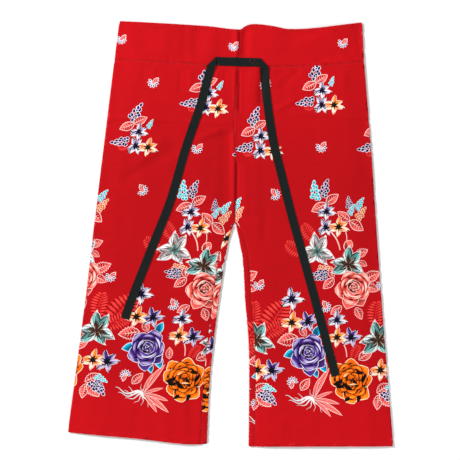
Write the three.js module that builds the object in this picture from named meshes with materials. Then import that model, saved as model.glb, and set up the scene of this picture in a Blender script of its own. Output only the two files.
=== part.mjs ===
// Thai fisherman pants laid flat, with the back and its sewn tie upwards.
// Millimetres: +Y runs up to the waist, +X to the viewer's right and +Z up from the surface they lie on.
// The origin is at the middle of the outline, on that surface.
import * as THREE from 'three';

// Driving dimensions.
const wall = 1; // thickness of the printed cotton, as a wall
const layerGap = 1.2; // air between the two layers at a folded edge
const loft = 2.6; // how much higher the upper layer lies away from the folded edges
const loftReach = 55; // distance from a folded edge over which it rises
const seamGap = 0.3; // clearance between two pieces that are sewn together
const waistHalfLength = 501; // from the middle of the outline up to the waist edge at the left side
const crotch = { x: 10.4, y: 27.8 }; // where the legs part
const crotchOpening = 9; // length below the crotch before the inseam's rolled edge starts
const inseamRoll = 11.5; // how far the inseam lies in from the leg's inner edge
const inseamRollReach = 45; // length below the crotch over which it gets that far in
const inseamRollStart = 0.25; // share of it that is there at the crotch
const tapeWidth = 20;
const tapeWall = 1;
const tapeClearance = 0.35; // between the tape and what it lies on
const tapeBendRadius = 0.7; // of the middle of the tape where it is folded over

// Where the folded side edges lie, a row for each level down the garment.
const sideEdges = [
  { y: waistHalfLength, left: -262, right: 310 },
  { y: 404, left: -274.5, right: 315 },
  { y: 197, left: -300, right: 331.5 },
  { y: -15, left: -326, right: 345.5 },
  { y: -156, left: -342.5, right: 356 },
  { y: -297, left: -361, right: 367 },
  { y: -waistHalfLength, left: -388, right: 383.5 },
];

// The inner edges of the two legs, from the crotch to the hems.
const innerEdges = [
  { y: crotch.y, left: crotch.x, right: crotch.x },
  { y: -15, left: -4, right: 20 },
  { y: -62, left: -13, right: 28.5 },
  { y: -156, left: -27, right: 34 },
  { y: -250, left: -39, right: 42 },
  { y: -344, left: -48.5, right: 43.5 },
  { y: -waistHalfLength, left: -56, right: 42 },
];

// The centre back seam, from the waist edge to the crotch.
const centreSeam = [
  { y: 490, x: 22 },
  { y: 404, x: 18.5 },
  { y: 289, x: 9 },
  { y: 262, x: 7.5 },
  { y: 209, x: 11 },
  { y: 150, x: 12.5 },
  { y: crotch.y, x: crotch.x },
];

// The lines across the garment, a row for each place where they turn.
const waistEdge = [
  { x: -262, y: waistHalfLength },
  { x: -60, y: 489 },
  { x: 22, y: 480.5 },
  { x: 34, y: 488 },
  { x: 46, y: 492.5 },
  { x: 66, y: 493 },
  { x: 104, y: 488 },
  { x: 134, y: 482 },
  { x: 196, y: 484 },
  { x: 310, y: 498 },
];
const yokeSeam = [
  { x: -275, y: 410 },
  { x: -150, y: 404 },
  { x: -72, y: 398.5 },
  { x: 17, y: 395 },
  { x: 116, y: 394 },
  { x: 180, y: 395 },
  { x: 262, y: 400.5 },
  { x: 316, y: 406 },
];
const leftHem = [
  { x: -388, y: -467 },
  { x: -300, y: -475 },
  { x: -208, y: -483.5 },
  { x: -114, y: -494.5 },
  { x: -67, y: -496 },
  { x: -56, y: -494.5 },
];
const rightHem = [
  { x: 42, y: -501 },
  { x: 384, y: -500.5 },
];

// The largest folds of the upper layer, each along a straight line: a ridge rises and a valley sinks.
const folds = [
  { name: 'ridge beside the yoke centre seam', x0: 15, y0: 492, x1: 15, y1: 416, width: 5.5, rise: 1.8 },
  { name: 'valley at the yoke centre seam', x0: 26, y0: 492, x1: 26, y1: 412, width: 6.5, rise: -3 },
  { name: 'roll of the waist edge', x0: 58, y0: 495, x1: 52, y1: 425, width: 15, rise: 1.6 },
  { name: 'dip of the waist edge', x0: 136, y0: 490, x1: 128, y1: 440, width: 24, rise: -1.2 },
  { name: 'faint fold in the left yoke', x0: -106, y0: 500, x1: -112, y1: 405, width: 9, rise: -1 },
  { name: 'crease under the tie', x0: 19, y0: 398, x1: 18, y1: 284, width: 5.5, rise: -2.6 },
  { name: 'valley beside the right tail', x0: 66, y0: 396, x1: 65, y1: 290, width: 9, rise: -1.8 },
  { name: 'swell between the ties', x0: 42, y0: 390, x1: 40, y1: 250, width: 13, rise: 1.1 },
  { name: 'short crease left of the seam', x0: -30, y0: 284, x1: 6, y1: 281, width: 5, rise: -1.4 },
  { name: 'short crease right of the seam', x0: 18, y0: 279, x1: 40, y1: 276, width: 5, rise: -1.3 },
  { name: 'long valley in the left leg', x0: -15, y0: 250, x1: -15, y1: 50, width: 10, rise: -2 },
  { name: 'ridge beside the long valley', x0: 1, y0: 250, x1: 2, y1: 60, width: 7, rise: 1.3 },
  { name: 'slot at the crotch seam', x0: 13, y0: 175, x1: 11, y1: 24, width: 4.5, rise: -3.2 },
  { name: 'swell right of the slot', x0: 32, y0: 170, x1: 34, y1: 40, width: 12, rise: 0.9 },
  { name: 'soft swell in the left leg', x0: -190, y0: 330, x1: -235, y1: -60, width: 34, rise: 0.9 },
  { name: 'soft dip in the left leg', x0: -110, y0: 60, x1: -170, y1: -380, width: 30, rise: -0.9 },
  { name: 'soft swell in the right leg', x0: 235, y0: 300, x1: 275, y1: -90, width: 34, rise: 0.9 },
  { name: 'soft dip in the right leg', x0: 130, y0: -60, x1: 150, y1: -400, width: 30, rise: -0.9 },
];
const foldEnd = 22; // length over which a fold starts and ends
const foldShareAtEdge = 0.35; // how much of a fold is left at a folded edge of the cloth

// How the panels are divided.
const nearSeam = [0, 6, 12, 20, 32, 50, 74]; // distances of the columns beside the centre seam
const outerColumns = 6; // even columns from there to the side
const hiddenColumns = 5;
const foldColumns = 4; // round a folded edge
const rollColumns = 2; // across the rolled edge of the inseam
const rowsToCrotch = 10;
const rowsBelowCrotch = 14;
const waistRows = 5;

// The tape's sewn stretch ends on two slanted folds, given by the middle of each and its direction.
const leftFold = { at: new THREE.Vector2(-43, 406.2), along: new THREE.Vector2(0.738, 0.675) };
const rightFold = { at: new THREE.Vector2(78.5, 402.8), along: new THREE.Vector2(0.682, -0.731) };

// The middle line of each tail, from just past its fold to its cut end.
const leftTailRoute = [
  { x: -58, y: 350 },
  { x: -70, y: 304 },
  { x: -106, y: 199.5 },
  { x: -141, y: 79.5 },
  { x: -188, y: -40 },
  { x: -233.5, y: -156 },
  { x: -248.5, y: -200 },
];
const rightTailRoute = [
  { x: 82.6, y: 346 },
  { x: 87, y: 304 },
  { x: 100, y: 220 },
  { x: 120.5, y: 136 },
  { x: 144, y: 42.5 },
  { x: 179, y: -83.5 },
  { x: 223, y: -245 },
  { x: 247.5, y: -334.5 },
];
const tailStraight = 12; // the tail runs straight out of its fold for this long
const tailStep = 18; // length of one row along a tail
const tapeColumns = 3;
const foldRows = [-26, -16, -7, -0.6, 0, 0.5, 1, 1.5, 2.2, 3, 8, 15, 22, 29, 36]; // distances past a fold
const slantedReach = 16; // rows nearer to the fold than this run along it
const straightenReach = 22; // length over which the rows then turn straight across
const doubledReach = 14; // length over which a tail comes down off the sewn stretch
const tapeStiffness = { x: 5, y: 8 }; // the tape spans dips of the cloth that are narrower than this

const foldRadius = (2 * wall + layerGap) / 2; // outer radius of a folded edge
const shownFloor = 2 * wall + seamGap; // the lowest that the upper layer's outside can lie

function smoothStep(value) {
  const t = Math.min(Math.max(value, 0), 1);
  return t * t * (3 - 2 * t);
}

// Reads a column of a table at a place between its rows, along a smooth curve through them.
function curveAt(table, key, place, column) {
  const rising = table[table.length - 1][key] > table[0][key];
  const rows = rising ? table : [...table].reverse();
  const last = rows.length - 1;
  let i = 0;
  while (i < last - 1 && place > rows[i + 1][key]) i += 1;
  const slope = (a, b) => (rows[b][column] - rows[a][column]) / (rows[b][key] - rows[a][key]);
  const span = rows[i + 1][key] - rows[i][key];
  const t = Math.min(Math.max((place - rows[i][key]) / span, 0), 1);
  const slope0 = i > 0 ? slope(i - 1, i + 1) : slope(i, i + 1);
  const slope1 = i < last - 1 ? slope(i, i + 2) : slope(i, i + 1);
  const a = rows[i][column];
  const b = rows[i + 1][column];
  return a * (1 + 2 * t) * (1 - t) ** 2 + b * t * t * (3 - 2 * t)
    + span * (slope0 * t * (1 - t) ** 2 - slope1 * t * t * (1 - t));
}

const sideAt = (y, side) => curveAt(sideEdges, 'y', y, side);
const innerAt = (y, side) => curveAt(innerEdges, 'y', y, side);
const centreAt = (y) => curveAt(centreSeam, 'y', y, 'x');

// How far the inseam lies in from the inner edge, at a level below the crotch.
function rollAt(y) {
  const share = (crotch.y - y) / inseamRollReach;
  return foldRadius + inseamRoll * smoothStep(inseamRollStart + share * (1 - inseamRollStart));
}

function foldRise(fold, x, y) {
  const dx = fold.x1 - fold.x0;
  const dy = fold.y1 - fold.y0;
  const length = Math.hypot(dx, dy);
  const along = ((x - fold.x0) * dx + (y - fold.y0) * dy) / length;
  const across = ((x - fold.x0) * dy - (y - fold.y0) * dx) / length;
  const ends = smoothStep(along / foldEnd) * smoothStep((length - along) / foldEnd);
  return fold.rise * ends * Math.exp(-((across / fold.width) ** 2));
}

// The height of the upper layer's outside above the surface that the pants lie on.
function shownHeight(x, y) {
  const fromSide = Math.min(x - sideAt(y, 'left'), sideAt(y, 'right') - x);
  const legSide = x < (y > crotch.y ? centreAt(y) : crotch.x) ? 'left' : 'right';
  const fromInner = y > crotch.y
    ? Math.hypot(x - crotch.x, y - crotch.y)
    : Math.abs(x - innerAt(y, legSide));
  const edge = Math.min(fromSide, fromInner) - foldRadius;
  const raised = smoothStep(edge / loftReach);
  const rise = folds.reduce((sum, fold) => sum + foldRise(fold, x, y), 0);
  const settled = smoothStep(foldShareAtEdge + edge / loftReach);
  return Math.max(2 * foldRadius + loft * raised + rise * settled, shownFloor);
}

// A wall over a grid of points, closed round its edges. pointsAt gives a place's outer and inner point,
// isCloth says which cells exist, and turned says that the columns run to the right.
function clothWall(columns, rows, pointsAt, isCloth, turned) {
  const positions = [];
  for (let row = 0; row <= rows; row += 1) {
    for (let column = 0; column <= columns; column += 1) {
      pointsAt(column, row).forEach((point) => positions.push(point.x, point.y, point.z));
    }
  }
  const index = [];
  const outer = (column, row) => 2 * (row * (columns + 1) + column);
  const inner = (column, row) => outer(column, row) + 1;
  const addQuad = (a, b, c, d) => (turned ? index.push(a, c, b, a, d, c) : index.push(a, b, c, a, c, d));
  const exists = (column, row) => column >= 0 && row >= 0 && column < columns && row < rows
    && isCloth(column, row);
  for (let row = 0; row < rows; row += 1) {
    for (let column = 0; column < columns; column += 1) {
      if (!exists(column, row)) continue;
      const corners = [[column, row], [column + 1, row], [column + 1, row + 1], [column, row + 1]];
      const neighbours = [[column, row - 1], [column + 1, row], [column, row + 1], [column - 1, row]];
      addQuad(...corners.map((corner) => outer(...corner)));
      addQuad(...[...corners].reverse().map((corner) => inner(...corner)));
      neighbours.forEach((neighbour, side) => {
        if (exists(...neighbour)) return;
        const from = corners[side];
        const to = corners[(side + 1) % 4];
        addQuad(outer(...to), outer(...from), inner(...from), inner(...to));
      });
    }
  }
  const geometry = new THREE.BufferGeometry();
  geometry.setAttribute('position', new THREE.Float32BufferAttribute(positions, 3));
  geometry.setIndex(index);
  return geometry;
}

// The places of the columns from a seam out to a folded side, both given as X.
function shownColumns(seam, side) {
  const direction = Math.sign(side - seam);
  const near = nearSeam.map((distance) => seam + direction * distance);
  const start = near[near.length - 1];
  const step = (side - start) / outerColumns;
  const even = Array.from({ length: outerColumns }, (_, i) => start + step * (i + 1));
  return [...near, ...even];
}

// Points round a folded edge, from the upper layer down to the hidden one, or back up.
function edgeBend(x, y, direction, upwards) {
  return Array.from({ length: foldColumns - 1 }, (_, i) => {
    const turn = (Math.PI * (i + 1)) / foldColumns;
    const angle = upwards ? Math.PI - turn : turn;
    const at = (radius) => new THREE.Vector3(
      x + direction * radius * Math.sin(angle), y, foldRadius + radius * Math.cos(angle));
    return [at(foldRadius), at(foldRadius - wall)];
  });
}

const shownPoint = (x, y) => {
  const z = shownHeight(x, y);
  return [new THREE.Vector3(x, y, z), new THREE.Vector3(x, y, z - wall)];
};
const hiddenPoint = (x, y) => [new THREE.Vector3(x, y, 0), new THREE.Vector3(x, y, wall)];

// One row round a piece: out over the shown side, round the side fold and back under it to the centre.
function roundRow(side, direction, seam, hiddenSeam, levelAt) {
  const points = [];
  const tangent = (y) => sideAt(y, side) - direction * foldRadius;
  const sideLevel = levelAt(sideAt(levelAt(sideAt(0, side)), side));
  const sideX = tangent(sideLevel);
  shownColumns(seam, sideX).forEach((x) => points.push(shownPoint(x, levelAt(x))));
  points.push(...edgeBend(sideX, sideLevel, direction, false));
  for (let i = 0; i <= hiddenColumns; i += 1) {
    const x = sideX + ((hiddenSeam - sideX) * i) / hiddenColumns;
    points.push(hiddenPoint(x, levelAt(x)));
  }
  return points;
}

function makeLeg(side, direction, hem) {
  const rows = [];
  const between = (top, bottom, share) => top + (bottom - top) * share;
  const seamOffset = (direction * seamGap) / 2;
  const rollStart = rowsToCrotch + 1;
  const rowTotal = rollStart + rowsBelowCrotch;
  for (let row = 0; row <= rowTotal; row += 1) {
    const openY = crotch.y - crotchOpening;
    const levelAt = (x) => {
      if (row <= rowsToCrotch) {
        const top = curveAt(yokeSeam, 'x', x, 'y') - seamGap / 2;
        return between(top, crotch.y, row / rowsToCrotch);
      }
      return between(openY, curveAt(hem, 'x', x, 'y'), (row - rollStart) / rowsBelowCrotch);
    };
    const innerGuess = levelAt(crotch.x);
    const aboveCrotch = row <= rowsToCrotch;
    const innerY = aboveCrotch ? innerGuess : levelAt(innerAt(innerGuess, side));
    const innerX = aboveCrotch ? centreAt(innerY) : innerAt(innerY, side) + direction * foldRadius;
    const roll = aboveCrotch ? 0 : direction * rollAt(innerY);
    const inseam = innerX + roll;
    const hiddenEnd = aboveCrotch ? innerX + seamOffset : innerX;
    const points = roundRow(side, direction, inseam + seamOffset, hiddenEnd, levelAt);
    points.push(...edgeBend(innerX, innerY, -direction, true));
    for (let i = 0; i <= rollColumns; i += 1) {
      const x = innerX + ((roll - seamOffset) * i) / rollColumns;
      points.push(shownPoint(x, levelAt(x)));
    }
    rows.push(points);
  }
  const columns = rows[0].length - 1;
  const bodyColumns = columns - foldColumns - rollColumns;
  const isCloth = (column, row) => column < bodyColumns || row >= rollStart;
  return clothWall(columns, rowTotal, (column, row) => rows[row][column], isCloth, direction > 0);
}

function makeWaistband(side, direction) {
  const rows = [];
  for (let row = 0; row <= waistRows; row += 1) {
    const levelAt = (x) => {
      const top = curveAt(waistEdge, 'x', x, 'y');
      const bottom = curveAt(yokeSeam, 'x', x, 'y') + seamGap / 2;
      return top + ((bottom - top) * row) / waistRows;
    };
    const seam = centreAt(levelAt(crotch.x)) + (direction * seamGap) / 2;
    rows.push(roundRow(side, direction, seam, seam, levelAt));
  }
  const columns = rows[0].length - 1;
  return clothWall(columns, waistRows, (column, row) => rows[row][column], () => true, direction > 0);
}

// The upward triangles of the laid pieces, which carry the tape.
function carryingTriangles(geometries) {
  const triangles = [];
  geometries.forEach((geometry) => {
    const position = geometry.getAttribute('position');
    const index = geometry.getIndex().array;
    for (let i = 0; i < index.length; i += 3) {
      const triangle = new THREE.Triangle();
      triangle.setFromAttributeAndIndices(position, index[i], index[i + 1], index[i + 2]);
      if (triangle.getNormal(new THREE.Vector3()).z > 0.5) triangles.push(triangle);
    }
  });
  return triangles;
}

function heightUnder(triangles, x, y) {
  let highest = 0;
  triangles.forEach(({ a, b, c }) => {
    const area = (b.x - a.x) * (c.y - a.y) - (b.y - a.y) * (c.x - a.x);
    const atB = ((x - a.x) * (c.y - a.y) - (y - a.y) * (c.x - a.x)) / area;
    const atC = ((b.x - a.x) * (y - a.y) - (b.y - a.y) * (x - a.x)) / area;
    if (atB < 0 || atC < 0 || atB + atC > 1) return;
    highest = Math.max(highest, a.z + (b.z - a.z) * atB + (c.z - a.z) * atC);
  });
  return highest;
}

// The tape in one length: its left tail, the sewn stretch and its right tail, folded over at each end of
// the stretch. A place on it is given by how far along and how far across it lies when it is flat.
function makeTie(triangles) {
  const stretch = rightFold.at.clone().sub(leftFold.at);
  const half = stretch.length() / 2;
  const middle = leftFold.at.clone().add(rightFold.at).multiplyScalar(0.5);
  const right = stretch.clone().normalize();
  const acrossOut = new THREE.Vector2(-right.y, right.x);
  const bendLength = Math.PI * tapeBendRadius;
  const reach = tapeWidth / 2;

  const restAt = (x, y) => {
    let highest = 0;
    for (const i of [-1, 0, 1]) {
      for (const j of [-1, 0, 1]) {
        const under = heightUnder(triangles, x + i * tapeStiffness.x, y + j * tapeStiffness.y);
        highest = Math.max(highest, under);
      }
    }
    return highest + tapeClearance + tapeWall / 2;
  };

  const tails = [
    { fold: leftFold, route: leftTailRoute, sign: -1 },
    { fold: rightFold, route: rightTailRoute, sign: 1 },
  ].map(({ fold, route, sign }) => {
    const out = right.clone().multiplyScalar(sign);
    const along = fold.along.clone().normalize();
    const past = out.clone().addScaledVector(along, -out.dot(along)).normalize();
    const away = along.clone().multiplyScalar(2 * out.dot(along)).sub(out);
    const start = fold.at.clone().addScaledVector(past, bendLength);
    const first = start.clone().addScaledVector(away, tailStraight);
    const points = [start, first, ...route.map(({ x, y }) => new THREE.Vector2(x, y))];
    const curve = new THREE.SplineCurve(points);
    return { fold, out, along, past, curve, length: curve.getLength(), sign };
  });

  // The middle of the tape at a place, and the direction from its underside to its sewn upper side.
  const placeAt = (a, b) => {
    const tail = tails[a < 0 ? 0 : 1];
    const beyond = Math.abs(a) - half;
    const q = tail.out.clone().multiplyScalar(beyond).addScaledVector(acrossOut, b);
    const past = q.dot(tail.past);
    const foldPoint = tail.fold.at.clone().addScaledVector(tail.along, q.dot(tail.along));
    if (past <= 0) {
      const flat = middle.clone().addScaledVector(right, a).addScaledVector(acrossOut, b);
      const at = new THREE.Vector3(flat.x, flat.y, restAt(flat.x, flat.y));
      return { at, up: new THREE.Vector3(0, 0, 1) };
    }
    if (past < bendLength) {
      const turn = past / tapeBendRadius;
      const side = new THREE.Vector3(tail.past.x, tail.past.y, 0);
      const outwards = side.multiplyScalar(Math.sin(turn)).add(new THREE.Vector3(0, 0, -Math.cos(turn)));
      const base = restAt(foldPoint.x, foldPoint.y) + tapeBendRadius;
      const at = new THREE.Vector3(foldPoint.x, foldPoint.y, base).addScaledVector(outwards, tapeBendRadius);
      return { at, up: outwards.clone().negate() };
    }
    const share = Math.min(Math.max(beyond / tail.length, 0), 1);
    const centre = tail.curve.getPointAt(share);
    const tangent = tail.curve.getTangentAt(share);
    const normal = new THREE.Vector2(-tangent.y, tangent.x).multiplyScalar(-tail.sign);
    const spot = centre.addScaledVector(normal, b);
    if (beyond < 0) spot.addScaledVector(tangent, beyond);
    const belowStretch = -spot.clone().sub(middle).dot(acrossOut) - reach;
    const doubled = 2 * tapeBendRadius * (1 - smoothStep(belowStretch / doubledReach));
    const z = restAt(spot.x, spot.y) + doubled;
    return { at: new THREE.Vector3(spot.x, spot.y, z), up: new THREE.Vector3(0, 0, -1) };
  };

  // Rows run straight across the tape, and lean to the fold's own slant beside each fold.
  const rows = [];
  tails.forEach((tail) => {
    const lean = -tail.past.dot(acrossOut) / tail.past.dot(tail.out);
    const perUnit = 1 / tail.past.dot(tail.out);
    const marks = foldRows.map((distance) => {
      const straight = smoothStep((Math.abs(distance) - slantedReach) / straightenReach);
      return { beyond: distance * perUnit, lean: lean * (1 - straight) };
    });
    const from = marks[marks.length - 1].beyond;
    const count = Math.round((tail.length - from) / tailStep);
    for (let i = 1; i <= count; i += 1) {
      marks.push({ beyond: from + ((tail.length - from) * i) / count, lean: 0 });
    }
    rows.push(...marks.map((mark) => ({ a: tail.sign * (half + mark.beyond), lean: tail.sign * mark.lean })));
  });
  rows.push({ a: 0, lean: 0 });
  rows.sort((one, other) => one.a - other.a);

  const pointsAt = (column, row) => {
    const b = reach - (tapeWidth * column) / tapeColumns;
    const { at, up } = placeAt(rows[row].a + rows[row].lean * b, b);
    return [at.clone().addScaledVector(up, tapeWall / 2), at.clone().addScaledVector(up, -tapeWall / 2)];
  };
  return clothWall(tapeColumns, rows.length - 1, pointsAt, () => true, false);
}

const printedCotton = new THREE.MeshStandardMaterial({ color: 0xc41a24, roughness: 0.85, metalness: 0 });
const blackTape = new THREE.MeshStandardMaterial({ color: 0x1b1e1d, roughness: 0.9, metalness: 0 });

const pants = new THREE.Group();
function addPiece(name, geometry, material) {
  geometry.computeVertexNormals();
  const mesh = new THREE.Mesh(geometry, material);
  mesh.name = name;
  pants.add(mesh);
  return geometry;
}

const laid = [
  addPiece('leg_left', makeLeg('left', -1, leftHem), printedCotton),
  addPiece('leg_right', makeLeg('right', 1, rightHem), printedCotton),
  addPiece('waistband_left', makeWaistband('left', -1), printedCotton),
  addPiece('waistband_right', makeWaistband('right', 1), printedCotton),
];
addPiece('tie', makeTie(carryingTriangles(laid)), blackTape);

export default pants;
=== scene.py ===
# Thai fisherman pants laid flat with the back upwards, seen from straight above.
# The form is worked out in millimetres, in the frame of the solids, and scaled to metres in each mesh.
import math

import bpy
import numpy as np
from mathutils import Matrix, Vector
from mathutils.bvhtree import BVHTree
from mathutils.geometry import delaunay_2d_cdt
from mathutils.kdtree import KDTree


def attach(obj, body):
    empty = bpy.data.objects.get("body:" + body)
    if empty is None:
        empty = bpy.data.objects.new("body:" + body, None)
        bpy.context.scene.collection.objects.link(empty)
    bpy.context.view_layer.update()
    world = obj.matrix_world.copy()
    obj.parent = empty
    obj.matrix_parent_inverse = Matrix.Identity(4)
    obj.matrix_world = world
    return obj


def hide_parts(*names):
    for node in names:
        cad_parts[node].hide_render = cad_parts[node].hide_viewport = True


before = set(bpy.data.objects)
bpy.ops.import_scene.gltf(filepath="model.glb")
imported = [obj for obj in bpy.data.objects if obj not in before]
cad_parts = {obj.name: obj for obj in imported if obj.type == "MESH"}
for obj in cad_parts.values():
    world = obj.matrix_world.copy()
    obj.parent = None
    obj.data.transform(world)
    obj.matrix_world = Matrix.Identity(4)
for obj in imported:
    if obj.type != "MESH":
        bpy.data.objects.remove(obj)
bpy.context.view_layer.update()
metre = 0.001  # one millimetre


def inkOf(red, green, blue):
    # a colour as it looks in print, 0 to 255, as scene linear
    shares = np.array([red, green, blue]) / 255
    return np.where(shares <= 0.04045, shares / 12.92, ((shares + 0.055) / 1.055) ** 2.4)


# The lie of the garment in millimetres. The outline and the layers are those of its solids.
lie = {
    "wall": 1.0,  # wall of the solids, which the thin cloth lies inside
    "cloth": 0.6,  # thickness of the cloth itself
    "layerGap": 1.2,
    "loft": 2.6,
    "loftReach": 55,
    "seamGap": 0.06,  # sewn edges meet almost face to face
    "crotchOpening": 9,
    "inseamRoll": 11.5,
    "inseamRollReach": 45,
    "inseamRollStart": 0.25,
    "foldEnd": 22,
    "foldShareAtEdge": 0.35,
    "lowest": 2.3,  # of the upper layer's outside
    "settling": 25,  # reach over which the lower layer's folds start
}
foldRadius = (2 * lie["wall"] + lie["layerGap"]) / 2
crotch = complex(10.4, 27.8)

sideEdges = {
    "y": [-501, -297, -156, -15, 197, 404, 501],
    "left": [-388, -361, -342.5, -326, -300, -274.5, -262],
    "right": [383.5, 367, 356, 345.5, 331.5, 315, 310],
}
innerEdges = {
    "y": [-501, -344, -250, -156, -62, -15, crotch.imag],
    "left": [-56, -48.5, -39, -27, -13, -4, crotch.real],
    "right": [42, 43.5, 42, 34, 28.5, 20, crotch.real],
}
centreSeam = {
    "y": [crotch.imag, 150, 209, 262, 289, 404, 490],
    "x": [crotch.real, 12.5, 11, 7.5, 9, 18.5, 22],
}
waistEdge = {
    "x": [-262, -60, 22, 34, 46, 66, 104, 134, 196, 310],
    "y": [501, 489, 480.5, 488, 492.5, 493, 488, 482, 484, 498],
}
yokeSeam = {
    "x": [-275, -150, -72, 17, 116, 180, 262, 316],
    "y": [410, 404, 398.5, 395, 394, 395, 400.5, 406],
}
hems = {
    "left": {"x": [-388, -300, -208, -114, -67, -56], "y": [-467, -475, -483.5, -494.5, -496, -494.5]},
    "right": {"x": [42, 384], "y": [-501, -500.5]},
}
# Folds of the upper layer, each along a line from x0, y0 to x1, y1, with its width and rise. The solids have
# the main ones too, mostly shallower and not all in quite the same place. A comment holds for the rows up
# to the next one.
foldRows = [
    (14, 494, 14, 406, 7, 2.6),  # ridge beside the yoke centre seam
    (36, 496, 32, 406, 11, -3.6),  # wide valley at the yoke centre seam
    (58, 496, 56, 410, 20, -0.6),  # its slow rise to the right
    (105, 495, 100, 420, 34, 1.6),  # broad roll of the waist edge
    (160, 490, 150, 440, 24, -1.2),  # dip of the waist edge
    (-106, 500, -112, 405, 9, -1),  # faint fold in the left yoke
    (9.5, 398, 9.5, 284, 5, 1.3),  # lit ridge under the tie
    (21, 400, 20, 276, 3.6, -1.6),  # crease beside it
    (31, 400, 30, 276, 14, -2.1),  # its slow rise to the right
    (77, 402, 72, 292, 9, -4.2),  # valley beside the right tail
    (-30, 284, 6, 281, 5, -1.4),  # short creases on both sides of the seam
    (18, 279, 40, 276, 5, -1.3),
    (-9, 252, -11, 55, 21, -3.5),  # long valley in the left leg
    (7, 250, 7, 60, 6, 2.4),  # ridge beside it
    (15.5, 178, 13, 24, 3.4, -2.8),  # slot at the crotch seam
    (23, 176, 21, 30, 9, -1.2),  # its slow rise to the right
    (34, 170, 36, 40, 12, 0.9),  # swell beside the slot
    (-190, 330, -235, -60, 34, 0.9),  # soft swells and dips of the legs
    (-110, 60, -170, -380, 30, -0.9), (235, 300, 275, -90, 34, 0.9), (130, -60, 150, -400, 30, -0.9),
    (-312, 276, -70, 262, 4.5, 1.3),  # packing fold across both legs
    (-80, 262, 6, 259, 4.5, 1.1), (100, 287, 165, 322, 6, 1.7), (140, 284, 335, 272, 4.5, 1.2),
    (112, 336, 172, 396, 10, -1.4),  # pulls beside the right fold of the tie
    (96, 370, 140, 384, 7, -1.1),
    (-84, 221, -14, 247, 8, 1.9),  # pulls across the left leg, and slack beside the crotch
    (-262, 122, -116, 206, 13, -1.5), (-232, 150, -150, 235, 16, 1), (-40, 240, -46, 90, 16, -1.2),
    (62, 245, 56, 40, 15, 1.2), (84, 60, 78, -30, 10, -1),
    (-118, 396, -120, 320, 5, -0.8),  # slack under the yoke seam
    (-92, 396, -96, 330, 6, 0.8), (-64, 396, -62, 345, 5, -0.8), (-180, 398, -182, 340, 7, 0.8),
    (-205, 398, -204, 350, 5, -0.6), (-12, 394, -14, 345, 5, -0.8), (-30, 394, -32, 350, 4, 0.6),
    (196, 390, 204, 300, 12, -0.9), (270, 394, 262, 330, 8, 0.6),
    (-40, 494, -48, 405, 18, 1.5),  # swells of the yoke
    (-78, 494, -82, 410, 16, -1.4), (-150, 500, -155, 412, 15, 1), (-205, 500, -208, 415, 21, -0.9),
    (140, 440, 262, 480, 17, 1.5), (190, 404, 300, 440, 13, -1.3),
    (296, 268, 345, 255, 9, -1.5),  # dip at the right side
    (300, 190, 346, 130, 14, -0.9),
    (-330, 0, -150, -30, 22, -0.8),  # slack of the lower legs
    (-350, -170, -230, -150, 18, 0.9), (60, -90, 190, -130, 20, -0.8), (-70, -330, -66, -480, 9, 0.9),
    (-96, -380, -92, -490, 11, -1), (-160, -390, -150, -488, 12, 0.9), (-215, -400, -225, -480, 14, -0.8),
    (-290, -330, -300, -470, 15, 0.8), (120, -420, 118, -498, 14, 0.8), (210, -420, 214, -498, 18, -0.8),
    (320, -400, 330, -498, 16, 0.8),
    (303, 500, 306, 414, 8, -1.7),  # dip beside the right side of the yoke
]
# The hidden layer's folds, which rise from the surface.
hiddenRows = [
    (30, 490, 20, 60, 12, 1.1), (-60, 494, -70, 300, 18, 0.7), (-180, 300, -250, -120, 20, 0.9),
    (-80, -40, -150, -430, 16, 0.7), (150, 420, 190, 80, 20, 0.8), (250, 180, 280, -260, 18, 0.9),
    (90, -60, 110, -440, 14, 0.7), (-320, 280, -30, 262, 5, 0.6), (60, 280, 330, 270, 5, 0.6),
]


def smooth(value):
    t = np.clip(value, 0, 1)
    return t * t * (3 - 2 * t)


def bell(distance, width):
    return np.exp(-((distance / width) ** 2))


def curveAt(places, values, at):
    # a smooth curve through the rows of a table, level beyond its ends
    x, y = np.asarray(places, float), np.asarray(values, float)
    slopes = np.empty(len(x))
    slopes[1:-1] = (y[2:] - y[:-2]) / (x[2:] - x[:-2])
    slopes[0] = (y[1] - y[0]) / (x[1] - x[0])
    slopes[-1] = (y[-1] - y[-2]) / (x[-1] - x[-2])
    i = np.clip(np.searchsorted(x, at) - 1, 0, len(x) - 2)
    span = x[i + 1] - x[i]
    t = np.clip((at - x[i]) / span, 0, 1)
    ends = y[i] * (1 + 2 * t) * (1 - t) ** 2 + y[i + 1] * t * t * (3 - 2 * t)
    return ends + span * (slopes[i] * t * (1 - t) ** 2 - slopes[i + 1] * t * t * (1 - t))


def sideAt(y, side):
    return curveAt(sideEdges["y"], sideEdges[side], y)


def innerAt(y, side):
    return curveAt(innerEdges["y"], innerEdges[side], y)


def centreAt(y):
    return curveAt(centreSeam["y"], centreSeam["x"], y)


def waistAt(x):
    return curveAt(waistEdge["x"], waistEdge["y"], x)


def yokeAt(x):
    return curveAt(yokeSeam["x"], yokeSeam["y"], x)


def hemAt(x, side):
    return curveAt(hems[side]["x"], hems[side]["y"], x)


def rollAt(y):
    # how far the inseam lies in from the tangent of the inner edge
    share = (crotch.imag - y) / lie["inseamRollReach"]
    start = lie["inseamRollStart"]
    return foldRadius + lie["inseamRoll"] * smooth(start + share * (1 - start))


def inseamAt(y, side):
    direction = 1 if side == "right" else -1
    return innerAt(y, side) + direction * (foldRadius + rollAt(y))


def foldSum(x, y, rows=foldRows):
    total = np.zeros_like(x)
    for x0, y0, x1, y1, width, rise in rows:
        dx, dy = x1 - x0, y1 - y0
        length = math.hypot(dx, dy)
        along = ((x - x0) * dx + (y - y0) * dy) / length
        across = ((x - x0) * dy - (y - y0) * dx) / length
        ends = smooth(along / lie["foldEnd"]) * smooth((length - along) / lie["foldEnd"])
        total += rise * ends * bell(across, width)
    return total


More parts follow.
